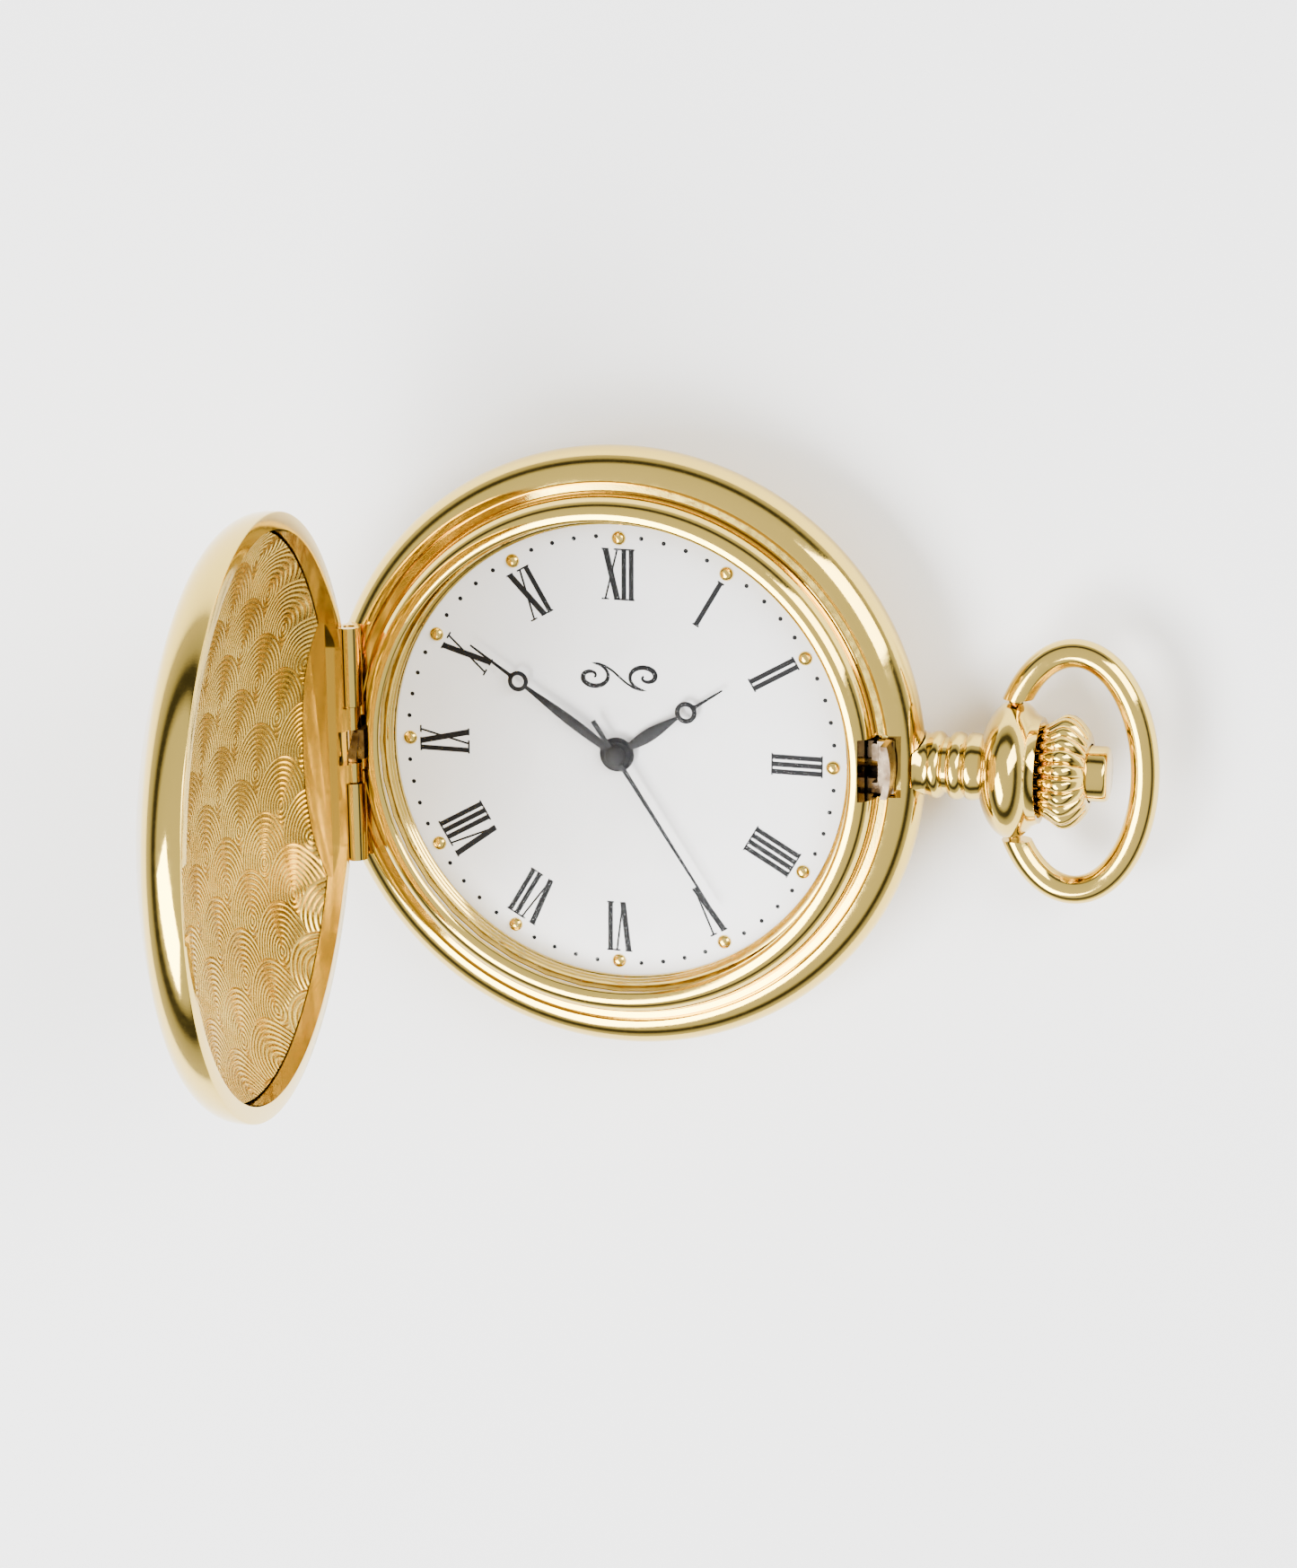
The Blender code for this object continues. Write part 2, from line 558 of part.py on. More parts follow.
def build_bow():
    curve = bpy.data.curves.new("bow", "CURVE")
    curve.dimensions = "3D"
    curve.bevel_depth = BOW_WIRE * MM
    curve.bevel_resolution = 3
    curve.use_fill_caps = True
    spline = curve.splines.new("POLY")
    points = arc((BOW_CENTRE_X - BOW_PIVOT_X, 0), BOW_HALF, 146, -146, 35)
    spline.points.add(len(points) - 1)
    for point, (x, y) in zip(spline.points, points):
        point.co = (x * MM, y * MM, 0, 1)
    bow = as_mesh(add_object("bow", curve, "polished_gold", (BOW_PIVOT_X, 0, AXIS_Z)))
    cut(bow, block("bow_gap", (20, -BOW_GAP_Y, 0), (33.5, BOW_GAP_Y, 10)))
    for side, name in ((1, "upper"), (-1, "lower")):
        low, high = sorted((side * 4, side * 6.6))
        cut(bow, rod(f"bow_bore_{name}", 0.55, low, high, "Y", (BOW_PIVOT_X, 0, AXIS_Z), TINY_STEPS))


# ---------------------------------------------------------------- wheels


def gear_outline(teeth, module, addendum=0.7, phase=0.0, tip=0.18):
    """Three points a tooth: the two corners of its tip, then the bottom of the gap after it."""
    pitch = 2 * math.pi / teeth
    radius = teeth * module / 2
    points = []
    for i in range(teeth):
        middle = phase + i * pitch
        points.append(polar(radius + addendum * module, middle - tip * pitch / 2))
        points.append(polar(radius + addendum * module, middle + tip * pitch / 2))
        points.append(polar(radius - 1.6 * module, middle + pitch / 2))
    return points


def mesh_phase(direction, teeth, phase, other_teeth):
    """The phase of a second wheel, in the given direction from the first, that puts tooth against gap."""
    shown = (direction - phase) * teeth / (2 * math.pi)
    return direction + math.pi - (2 * math.pi / other_teeth) * (0.5 - shown % 1)


def toothed(name, teeth, module, level, thick, at, phase=0.0, finish="brass", group="pocket_watch"):
    return flat(name, [gear_outline(teeth, module, phase=phase)], level, level + thick, finish, at, group=group)


def arbor(name, at, low, high, radius=PIVOT):
    return rod(name, radius, low, high, at=(*at, 0), steps=TINY_STEPS)


def build_train():
    centre = (0, 0)
    third = polar(TRAIN_DISTANCE, THIRD_ANGLE)
    fifth = polar(FIFTH_DISTANCE, FIFTH_ANGLE)
    rotor = polar(ROTOR_DISTANCE, ROTOR_ANGLE, fifth)
    low, high = BRIDGE[0] + 0.1, PLATE[1] - 0.05
    module = 2 * TRAIN_DISTANCE / (CENTRE_TEETH + THIRD_PINION)
    phase = mesh_phase(THIRD_ANGLE, CENTRE_TEETH, 0, THIRD_PINION)
    wheel = toothed("centre_wheel", CENTRE_TEETH, module, CENTRE_LEVEL, WHEEL_THICK, centre)
    cut(wheel, arbor("centre_bore", centre, 4, 5, 0.55))
    pinion = toothed("third_pinion", THIRD_PINION, module, CENTRE_LEVEL - 0.1, 0.4, third, phase)

    module = 2 * TRAIN_DISTANCE / (THIRD_TEETH + SECONDS_PINION)
    phase = mesh_phase(THIRD_ANGLE + math.pi, THIRD_TEETH, 0, SECONDS_PINION)
    wheel = toothed("third_wheel", THIRD_TEETH, module, THIRD_LEVEL, WHEEL_THICK, third)
    fuse(wheel, arbor("third_arbor", third, low, high), pinion)
    pinion = toothed("seconds_pinion", SECONDS_PINION, module, THIRD_LEVEL - 0.1, 0.4, centre, phase)

    module = 2 * FIFTH_DISTANCE / (SECONDS_TEETH + FIFTH_PINION)
    phase = mesh_phase(FIFTH_ANGLE, SECONDS_TEETH, 0, FIFTH_PINION)
    wheel = toothed("seconds_wheel", SECONDS_TEETH, module, SECONDS_LEVEL, WHEEL_THICK, centre)
    fuse(wheel, arbor("seconds_arbor", centre, low, 7.5, 0.16), pinion)
    pinion = toothed("fifth_pinion", FIFTH_PINION, module, SECONDS_LEVEL - 0.1, 0.4, fifth, phase)

    module = 2 * ROTOR_DISTANCE / (FIFTH_TEETH + ROTOR_PINION)
    phase = mesh_phase(ROTOR_ANGLE, FIFTH_TEETH, 0, ROTOR_PINION)
    wheel = toothed("fifth_wheel", FIFTH_TEETH, module, FIFTH_LEVEL, WHEEL_THICK, fifth)
    fuse(wheel, arbor("fifth_arbor", fifth, low, high), pinion)
    pinion = toothed("rotor", ROTOR_PINION, module, FIFTH_LEVEL - 0.1, 0.4, rotor, phase, "spring_steel")
    magnet = rod("magnet", 1.0, 3.25, 4.0, at=(*rotor, 0), steps=16)
    fuse(pinion, arbor("rotor_arbor", rotor, low, high), magnet)
    return third, fifth, rotor


def build_motion_work():
    minute_at = (MOTION_DISTANCE, 0)
    module = 2 * MOTION_DISTANCE / (MINUTE_TEETH + CANNON_LEAVES)
    phase = mesh_phase(0, CANNON_LEAVES, 0, MINUTE_TEETH)
    minute = toothed("minute_wheel", MINUTE_TEETH, module, MOTION_LEVEL, 0.15, minute_at, phase)
    cannon = toothed("cannon_pinion", CANNON_LEAVES, module, MOTION_LEVEL - 0.03, 0.2, (0, 0), 0, "spring_steel")
    fuse(cannon, arbor("minute_tube", (0, 0), CENTRE_LEVEL - 0.1, 7.32, 0.48))
    cut(cannon, arbor("minute_bore", (0, 0), 3, 8, 0.24))
    setting_phase = mesh_phase(0, MINUTE_TEETH, phase, SETTING_TEETH)
    setting_at = (SETTING_X, 0)
    setting = toothed("setting_wheel", SETTING_TEETH, module, MOTION_LEVEL, 0.15, setting_at, setting_phase)
    fuse(setting, arbor("setting_arbor", setting_at, PLATE[0] + 0.05, 5.6))

    module = 2 * MOTION_DISTANCE / (HOUR_TEETH + MINUTE_LEAVES)
    phase = mesh_phase(math.pi, MINUTE_LEAVES, 0, HOUR_TEETH)
    pinion = toothed("minute_pinion", MINUTE_LEAVES, module, MOTION_LEVEL + 0.1, 0.42, minute_at)
    fuse(minute, arbor("minute_arbor", minute_at, PLATE[0] + 0.05, 5.9), pinion)
    hour = toothed("hour_wheel", HOUR_TEETH, module, HOUR_LEVEL, 0.15, (0, 0), phase)
    fuse(hour, arbor("hour_tube", (0, 0), HOUR_LEVEL, 7.07, 0.84))
    cut(hour, arbor("hour_bore", (0, 0), 5, 8, 0.58))
    return minute_at, setting_at


# ---------------------------------------------------------------- movement


def capsule(start, end, radius, steps=7):
    """The outline of a bar with round ends."""
    heading = math.degrees(math.atan2(end[1] - start[1], end[0] - start[0]))
    near = arc(start, (radius, radius), heading + 90, heading + 270, steps)
    return near + arc(end, (radius, radius), heading - 90, heading + 90, steps)


def build_movement(third, fifth, rotor, minute_at, setting_at):
    window = [(6.95, -0.95), (8.9, -0.95), (8.9, 0.95), (6.95, 0.95)]
    arbors = [circle(PIVOT + 0.1, TINY_STEPS, at) for at in (third, fifth, rotor, minute_at, setting_at)]
    posts = [circle(0.4, TINY_STEPS, at) for at in (LEVER_PIVOT, YOKE_PIVOT)]
    edge = [circle(MOVEMENT_RADIUS, RING_STEPS), circle(0.6, 16), window]
    flat("main_plate", edge + arbors + posts, *PLATE, "brass")

    outline = [(-7.5, 7.5), (-1.0, 8.5), (1.6, 4.5), (2.4, 0), (2.4, -5.2), (-0.5, -8.0), (-6.5, -8.0)]
    outline += [(-9.5, -3.0), (-9.8, 3.0)]
    pivots = [circle(PIVOT + 0.1, TINY_STEPS, at) for at in ((0, 0), third, fifth, rotor)]
    screws = ((-6.4, 6.7), (-8.6, -0.5), (1.4, -4.3))
    holes = pivots + [circle(0.4, TINY_STEPS, at) for at in screws]
    flat("train_bridge", [outline] + holes, *BRIDGE, "brass")
    for i, at in enumerate(screws, 1):
        profile = [(0, 4.9), (0.3, 4.9), (0.3, 2.1), (0.55, 2.1), (0.55, 1.85), (0, 1.85)]
        turned(f"bridge_screw_{i}", profile, "spring_steel", at=(*at, 0), steps=TINY_STEPS)

    plates = [(-6.5, -4.5), (-6.5, -9.7), (-5.1, -9.7), (-5.1, -8.2), (3.4, -8.2), (3.4, -9.7)]
    plates += [(4.7, -9.7), (4.7, -6.2), (0, -4.5)]
    flat("stator", [plates, circle(1.25, 16, rotor)], 3.4, 3.9, "spring_steel")
    block("coil_core", (-5.0, -9.6, 3.45), (3.3, -9.0, 3.85), "spring_steel", "pocket_watch")
    ring("coil", 0.5, 0.95, -3.9, 2.3, "copper_wire", at=(0, -9.3, 3.65), axis="X", steps=16)

    board = [(4.9, -7.6), (8.6, -7.6), (8.6, -1.3), (4.9, -1.3)]
    flat("circuit_board", [board], 4.6, 4.8, "circuit_green")
    block("circuit_chip", (5.8, -4.6, 3.9), (7.8, -2.6, 4.5), "black_paint", "pocket_watch")
    rod("quartz_can", 0.7, 5.2, 8.6, "X", (0, -6.6, 3.7), 16, "spring_steel", "pocket_watch")
    case = [(0, 4.8), (2.6, 4.8), (2.6, 4.5), (BATTERY_RADIUS, 4.5), (BATTERY_RADIUS, 2.2), (0, 2.2)]
    turned("battery", case, "spring_steel", at=(*BATTERY_AT, 0), steps=SMALL_STEPS)
    flat("battery_clamp", [capsule((2.6, 5.9), (9.2, 5.9), 0.55)], 1.85, 2.1, "spring_steel")


def build_keyless_work():
    lever = flat("setting_lever", [capsule(LEVER_PIVOT, (9.75, -0.3), 0.45)], 3.4, 3.7, "spring_steel")
    yoke = flat("yoke", [capsule(YOKE_PIVOT, (8.25, 0), 0.4)], 3.25, 3.5, "spring_steel")
    fuse(lever, arbor("lever_post", LEVER_PIVOT, 3.45, PLATE[1] - 0.05, 0.3))
    fuse(yoke, arbor("yoke_post", YOKE_PIVOT, 3.3, PLATE[1] - 0.05, 0.3))


# ---------------------------------------------------------------- hands


def blade(start, end, root, tip):
    """The two edges of a blade along +Y, which widens or narrows evenly from its root to its tip."""
    return [(root / 2, start), (tip / 2, end)], [(-tip / 2, end), (-root / 2, start)]


def pomme_hand(name, level, thick, turn, hub, bore, body, eye_at, eye, length):
    """A hand with a round hub, a leaf-shaped body, a pierced round eye and a fine point."""
    outer, inner = eye
    waist, belly, start = 0.30, body, hub * 0.95
    middle = (start + eye_at - outer) * 0.55
    neck = eye_at - outer * 0.95
    right = [(waist, start), (belly, middle), (waist * 0.5, neck)]
    ring_side = arc((0, eye_at), (outer, outer), -65, 65, 7)
    point = [(0.14, eye_at + outer * 1.02), (0.07, length), (-0.07, length), (-0.14, eye_at + outer * 1.02)]
    left_ring = [(-x, y) for x, y in ring_side[::-1]]
    left = [(-x, y) for x, y in right[::-1]]
    back = arc((0, 0), (hub, hub), 105, 435, 17)
    outline = right + ring_side + point + left_ring + left + back
    holes = [circle(bore, TINY_STEPS), circle(inner, TINY_STEPS, (0, eye_at))]
    flat(name, [outline] + holes, level, level + thick, "black_paint", turn=-turn)


def build_hands():
    hour_turn, minute_turn, second_turn = (t + DIAL_TURN for t in (HOUR_TURN, MINUTE_TURN, SECOND_TURN))
    hour = {"hub": 1.35, "bore": 0.9, "body": 0.52, "eye_at": 6.57, "eye": (0.85, 0.5), "length": 10.0}
    minute = {"hub": 1.1, "bore": 0.54, "body": 0.42, "eye_at": 9.43, "eye": (0.8, 0.48), "length": 14.05}
    pomme_hand("hour_hand", 6.95, 0.15, hour_turn, **hour)
    pomme_hand("minute_hand", 7.2, 0.15, minute_turn, **minute)
    tip, tail = blade(0.0, 14.1, 0.36, 0.12)
    outline = [(0.18, -3.2)] + tip + tail + [(-0.18, -3.2)]
    needle = flat("seconds_hand", [outline], 7.45, 7.58, "black_paint", turn=-second_turn)
    fuse(needle, rod("seconds_hub", 0.8, 7.42, 7.75, steps=16))
    cut(needle, rod("seconds_bore", 0.22, 7, 7.6, steps=TINY_STEPS))


def shade():
    for obj in COLLECTIONS["pocket_watch"].objects:
        if obj.type == "MESH":
            obj.data.shade_smooth()
            obj.data.set_sharp_from_angle(angle=math.radians(35))


def main():
    clear_scene()
    add_finishes()
    build_case_middle()
    build_bezel()
    build_crystal()
    build_rehaut()
    build_back()
    build_dial()
    build_lid()
    build_springs()
    build_pendant()
    build_crown()
    build_bow()
    build_movement(*build_train(), *build_motion_work())
    build_keyless_work()
    build_hands()
    shade()


main()
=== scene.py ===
"""Looks of a full-hunter quartz pocket watch: gilded case, engraved lid, enamel dial and pomme hands.

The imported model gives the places. Sizes below are in millimetres, and heights count from the case's datum
plane, which the dial's height gives. The lid is modelled closed and turned open about its hinge.
"""

import json
import math

import bmesh
import bpy
from bpy.props import FloatProperty, FloatVectorProperty, IntProperty, PointerProperty
from mathutils import Matrix, Vector


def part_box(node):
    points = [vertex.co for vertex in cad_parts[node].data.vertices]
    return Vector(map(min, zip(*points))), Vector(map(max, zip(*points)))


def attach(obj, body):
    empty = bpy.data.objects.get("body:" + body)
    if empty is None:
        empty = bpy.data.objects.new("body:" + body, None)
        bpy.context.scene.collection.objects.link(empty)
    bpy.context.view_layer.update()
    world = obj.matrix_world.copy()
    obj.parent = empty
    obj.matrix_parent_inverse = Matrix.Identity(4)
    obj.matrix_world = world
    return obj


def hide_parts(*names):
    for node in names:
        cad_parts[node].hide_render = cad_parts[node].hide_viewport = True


bl_info = {
    "name": "Hunter pocket watch",
    "version": (1, 0, 0),
    "blender": (4, 5, 0),
    "location": "View3D > Sidebar > Watch",
    "description": "Builds the finished looks of a full-hunter quartz pocket watch",
    "category": "Add Mesh",
}

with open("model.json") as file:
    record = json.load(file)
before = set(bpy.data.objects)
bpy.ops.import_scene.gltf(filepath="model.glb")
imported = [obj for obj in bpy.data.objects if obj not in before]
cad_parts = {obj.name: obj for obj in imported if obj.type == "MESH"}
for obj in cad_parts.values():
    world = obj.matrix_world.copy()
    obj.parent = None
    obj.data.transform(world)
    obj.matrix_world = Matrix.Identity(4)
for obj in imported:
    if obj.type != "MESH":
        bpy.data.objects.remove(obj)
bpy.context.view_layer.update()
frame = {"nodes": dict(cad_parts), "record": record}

MM = 0.001
DIAL_FACE = 6.4
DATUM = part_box("dial")[1].z / MM - DIAL_FACE

DIAL_TURN = math.radians(-0.8)
AXIS_Z = 4.5
LATCH_WINDOW = (-2.0, 2.8)
CASE_BORE = 20.25
BEAD_CENTRE = (21.4, 5.15)
BEAD_RADIUS = 2.3
HINGE_X = -20.95
HINGE_Z = 8.15
HINGE = (HINGE_X, 0, HINGE_Z)
KNUCKLE = 0.93
LID_KNUCKLE = 0.7
KNUCKLE_COVE = 1.05
PIN_BORE = 0.45
HINGE_HALF = 9.3
KNUCKLE_SPLIT = 3.1
LID_OPEN = math.radians(86)
LID_RIM = 8.45
LID_RADIUS = 22.3
LID_BORE = 21.0
LID_WALL = 0.75
SHOULDER = 3.0
DOME_RADIUS = 50.0
LID_EDGE = 0.7
CHORD_X = -20.2
CHORD_HALF = 9.65
BLOCK_X = -18.4
BLOCK_FOOT_X = -19.55
BLOCK_STEP = 9.35
BOW_PIVOT_X = 30.4
BOW_CENTRE_X = 34.85
BOW_HALF = (5.35, 9.2)
BOW_WIRE = 1.08
CROWN_RIDGES = 22
FLUTE_DEPTH = 0.085
HAND_THICK = 0.15
INK_THICK = 0.03
INK_RISE = 0.0002
GRAIN_DEPTH = 0.00002
SHARP = 32
SOFT_SHARP = 50
WELD = 1e-5
ALONG = {"X": Matrix.Rotation(math.pi / 2, 3, "Y"), "Y": Matrix.Rotation(-math.pi / 2, 3, "X")}
HOUR_TURN = math.radians(55.8)
MINUTE_TURN = math.radians(304.4)
SECOND_TURN = math.radians(146.7)
GOLD_CASE = ("polished_gold_plate", "case", "polished_gold")
INK_CASE = ("black_dial_ink", "case", "black_paint")
MATERIALS = {}


def linear(code):
    """An sRGB hex value as linear red, green, blue and alpha."""
    channels = [int(code[i : i + 2], 16) / 255 for i in (0, 2, 4)]
    return (*[c / 12.92 if c <= 0.04045 else ((c + 0.055) / 1.055) ** 2.4 for c in channels], 1.0)


class WatchSizes(bpy.types.PropertyGroup):
    """Sizes that change how finely and how deeply the watch is worked."""

    steps: IntProperty(
        name="Turning steps", description="Facets round a turned piece", default=192, min=48, max=384
    )
    # The real rings are about 0.28 mm apart, too fine to show from here, so they are cut coarser.
    engraving_pitch: FloatProperty(
        name="Engraving pitch",
        description="Spacing of the rings cut inside the lid",
        default=0.0004,
        unit="LENGTH",
    )
    engraving_disc: FloatProperty(
        name="Engraving disc",
        description="Spacing of the rings' centres",
        default=0.007,
        unit="LENGTH",
    )
    numeral_height: FloatProperty(
        name="Numeral height", description="Height of the hour numerals", default=0.004, unit="LENGTH"
    )
    dot_radius: FloatProperty(
        name="Minute dot", description="Radius of the minute dots", default=0.00017, unit="LENGTH"
    )


class WatchColours(bpy.types.PropertyGroup):
    """Colours of the main finishes."""

    gold: FloatVectorProperty(
        name="Gold", description="Polished gold plate", subtype="COLOR", default=linear("E5C460")[:3]
    )
    ink: FloatVectorProperty(
        name="Ink", description="Printing on the dial", subtype="COLOR", default=linear("0C0C0F")[:3]
    )
    enamel: FloatVectorProperty(
        name="Enamel", description="Ground of the dial", subtype="COLOR", default=linear("FCFCFD")[:3]
    )


# ---------------------------------------------------------------- materials


def node(tree, kind, settings=None, **inputs):
    """Adds a node, with its settings and with each input's value or link."""
    made = tree.nodes.new(kind)
    for key, value in (settings or {}).items():
        setattr(made, key, value)
    for key, value in inputs.items():
        numbered = key[0] == "i" and key[1:].isdigit()
        socket = made.inputs[int(key[1:]) if numbered else key.replace("_", " ")]
        if isinstance(value, bpy.types.NodeSocket):
            tree.links.new(value, socket)
        else:
            socket.default_value = value
    return made


def start(name, **values):
    """A new material's tree and its shader, with constants on the shader's own sockets."""
    material = bpy.data.materials.new(name)
    material.use_nodes = True
    tree = material.node_tree
    shader = tree.nodes["Principled BSDF"]
    for key, value in values.items():
        shader.inputs[key.replace("_", " ")].default_value = value
    MATERIALS[name] = material
    return tree, shader


def varied(tree, place, size_mm, low, high):
    """Noise of a real size, spread between two values."""
    noise = node(tree, "ShaderNodeTexNoise", Vector=place, Scale=1 / (size_mm * MM), Detail=3.0)
    spread = node(tree, "ShaderNodeMapRange", i0=noise.outputs["Fac"], i1=0.3, i2=0.7, i3=low, i4=high)
    return spread.outputs[0]


def relieve(tree, shader, height, strength, depth):
    """Bumps a shader's surface by a height pattern."""
    relief = node(tree, "ShaderNodeBump", Strength=strength, Distance=depth, Height=height)
    tree.links.new(relief.outputs[0], shader.inputs["Normal"])


def worked_surface(tree, shader, place, tones, rough, sizes_mm, bump):
    """Drifting tone, uneven shine and fine relief, at three real sizes: patches, wear and grain."""
    patch_mm, wear_mm, grain_mm = sizes_mm
    drift = varied(tree, place, patch_mm, 0.0, 1.0)
    colour = node(tree, "ShaderNodeMix", {"data_type": "RGBA"}, i0=drift, i6=tones[0], i7=tones[1])
    tree.links.new(colour.outputs[2], shader.inputs["Base Color"])
    tree.links.new(varied(tree, place, wear_mm, *rough), shader.inputs["Roughness"])
    if bump:
        relieve(tree, shader, varied(tree, place, grain_mm, 0.0, 1.0), bump, GRAIN_DEPTH)


def metal(name, tones, rough, grain_mm, bump, patch_mm=6.0):
    """Worked metal: its colour drifts a little, and fine marks of its working break its shine."""
    tree, shader = start(name, Metallic=1.0)
    place = node(tree, "ShaderNodeTexCoord").outputs["Object"]
    worked_surface(tree, shader, place, tones, rough, (patch_mm, grain_mm * 4, grain_mm), bump)
    return tree, shader, place


def moulded(name, tones, rough, grain_mm, bump, **values):
    """Anything that isn't metal, with a faint unevenness from moulding, firing or printing."""
    tree, shader = start(name, **values)
    place = node(tree, "ShaderNodeTexCoord").outputs["Object"]
    worked_surface(tree, shader, place, tones, rough, (grain_mm * 5, grain_mm * 3, grain_mm), bump)


def engraved_gold(sizes):
    """Ring-engraved gold plate: rows of overlapping discs of fine rings, as a spotting tool leaves them, with
    painted shade darkening the rings' grooves.
    """
    tones = (linear("CCA848"), linear("E3C564"))
    tree, shader, place = metal("ring_engraved_gold", tones, (0.2, 0.3), 0.05, 0.0)
    # The lid's own plane, as if it were closed.
    about = node(tree, "ShaderNodeMapping", Vector=place, Rotation=(0.0, LID_OPEN, 0.0)).outputs[0]
    across = node(tree, "ShaderNodeSeparateXYZ", i0=about).outputs
    disc, reach = sizes.engraving_disc, sizes.engraving_disc * 0.56
    step = disc / 2
    row = node(tree, "ShaderNodeMath", {"operation": "DIVIDE"}, i0=across[1], i1=step).outputs[0]
    row = node(tree, "ShaderNodeMath", {"operation": "FLOOR"}, i0=row).outputs[0]
    nearest = reach
    # Each row of discs covers the one above it, so the lowest row that reaches a point gives its rings.
    for above in (2, 1, 0, -1):
        index = node(tree, "ShaderNodeMath", {"operation": "ADD"}, i0=row, i1=float(above)).outputs[0]
        rise = node(tree, "ShaderNodeMath", {"operation": "MULTIPLY"}, i0=index, i1=step).outputs[0]
        rise = node(tree, "ShaderNodeMath", {"operation": "SUBTRACT"}, i0=across[1], i1=rise).outputs[0]
        side = node(tree, "ShaderNodeMath", {"operation": "MULTIPLY"}, i0=index, i1=step).outputs[0]
        side = node(tree, "ShaderNodeMath", {"operation": "ADD"}, i0=across[0], i1=side).outputs[0]
        whole = node(tree, "ShaderNodeMath", {"operation": "SNAP"}, i0=side, i1=disc).outputs[0]
        side = node(tree, "ShaderNodeMath", {"operation": "SUBTRACT"}, i0=side, i1=whole).outputs[0]
        side = node(tree, "ShaderNodeMath", {"operation": "SUBTRACT"}, i0=side, i1=step).outputs[0]
        both = node(tree, "ShaderNodeCombineXYZ", i0=rise, i1=side).outputs[0]
        away = node(tree, "ShaderNodeVectorMath", {"operation": "LENGTH"}, i0=both).outputs["Value"]
        within = node(tree, "ShaderNodeMath", {"operation": "LESS_THAN"}, i0=away, i1=reach).outputs[0]
        nearest = node(tree, "ShaderNodeMix", i0=within, i2=nearest, i3=away).outputs[0]
    turns = math.tau / sizes.engraving_pitch
    phase = node(tree, "ShaderNodeMath", {"operation": "MULTIPLY"}, i0=nearest, i1=turns)
    rings = node(tree, "ShaderNodeMath", {"operation": "SINE"}, i0=phase.outputs[0]).outputs[0]
    relieve(tree, shader, rings, 0.5, 0.0001)
    # The ring troughs are mixed towards dark brown: painted shade in the engraved grooves.
    ground = shader.inputs["Base Color"].links[0].from_socket
    groove_shade_mask = node(tree, "ShaderNodeMapRange", i0=rings, i1=-1.0, i2=0.3, i3=0.6, i4=0.0).outputs[0]
    kinds = {"data_type": "RGBA"}
    painted_groove_shade = node(tree, "ShaderNodeMix", kinds, i0=groove_shade_mask, i6=ground, i7=linear("96702C"))
    tree.links.new(painted_groove_shade.outputs[2], shader.inputs["Base Color"])


def shaded(colour, by=1.0):
    """A property's colour with alpha, darkened by a factor."""
    return (*[channel * by for channel in colour], 1.0)


def make_materials(sizes, colours):
    dull = {"Specular_IOR_Level": 0.2}
    # Electroplated gold over polished brass: a warm mirror with a trace of buffing.
    plate_tones = (shaded(colours.gold, 0.93), shaded(colours.gold))
    metal("polished_gold_plate", plate_tones, (0.06, 0.12), 0.15, 0.03, 15.0)
    # Brushed gold plate: the same metal with a soft, even grain.
    metal("satin_gold_plate", (linear("C4993F"), linear("DDB85C")), (0.24, 0.34), 0.06, 0.15)
    engraved_gold(sizes)
    # Spring steel, tempered brown and ground: dull, with lighter patches where it was ground.
    metal("ground_spring_steel", (linear("4A3826"), linear("8C7C68")), (0.25, 0.4), 0.08, 0.25, 1.2)
    # Turned brass, left raw inside the case.
    metal("turned_brass", (linear("B28A45"), linear("D1AC62")), (0.22, 0.35), 0.1, 0.1)
    # Enamelled copper wire, wound tight: a dark red-brown metal.
    metal("wound_copper_wire", (linear("8E4526"), linear("C27546")), (0.3, 0.4), 0.1, 0.4, 0.5)
    # Enamel paint on brass: near white, with the slight waviness of a sprayed coat.
    enamel_tones = (shaded(colours.enamel, 0.96), shaded(colours.enamel))
    moulded("white_dial_enamel", enamel_tones, (0.3, 0.4), 0.6, 0.04)
    # Black lacquer on the hands, with a low sheen.
    moulded("black_hand_lacquer", (linear("060608"), linear("0C0C0F")), (0.4, 0.5), 0.3, 0.04, **dull)
    # Pad-printed black ink: flat and slightly grainy.
    ink_tones = (shaded(colours.ink, 0.5), shaded(colours.ink))
    moulded("black_dial_ink", ink_tones, (0.5, 0.6), 0.1, 0.1, **dull)
    # Nitrile rubber rings: dull black.
    moulded("nitrile_rubber", (linear("101010"), linear("1C1C1C")), (0.65, 0.8), 0.1, 0.3)
    # Natural nylon, off-white, and black nylon, both moulded with a faint texture.
    moulded("natural_nylon", (linear("CFCBBF"), linear("DEDACF")), (0.4, 0.5), 0.2, 0.1)
    moulded("black_nylon_moulding", (linear("121214"), linear("1D1D20")), (0.45, 0.6), 0.1, 0.2)
    # Solder mask over fibreglass board: green with a soft shine.
    moulded("green_circuit_board", (linear("0B4527"), linear("136337")), (0.3, 0.4), 0.3, 0.1)
    # Mineral glass, thin enough to show only by a faint mirror image, stronger at a glancing angle.
    glass = {"Metallic": 1.0, "Roughness": 0.03, "Base_Color": linear("FFFFFF")}
    tree, shader = start("mineral_crystal_glass", **glass)
    place = node(tree, "ShaderNodeTexCoord").outputs["Object"]
    glance = node(tree, "ShaderNodeFresnel", IOR=1.35).outputs[0]
    smear = varied(tree, place, 9.0, 0.03, 0.05)
    faint = node(tree, "ShaderNodeMath", {"operation": "MULTIPLY"}, i0=glance, i1=smear)
    tree.links.new(faint.outputs[0], shader.inputs["Alpha"])


# ---------------------------------------------------------------- mesh helpers


def lift(height=0.0):
    """The move from a piece's own millimetres to its place in metres, above the datum plane."""
    return Matrix.Scale(MM, 4) @ Matrix.Translation((0, 0, height + DATUM))


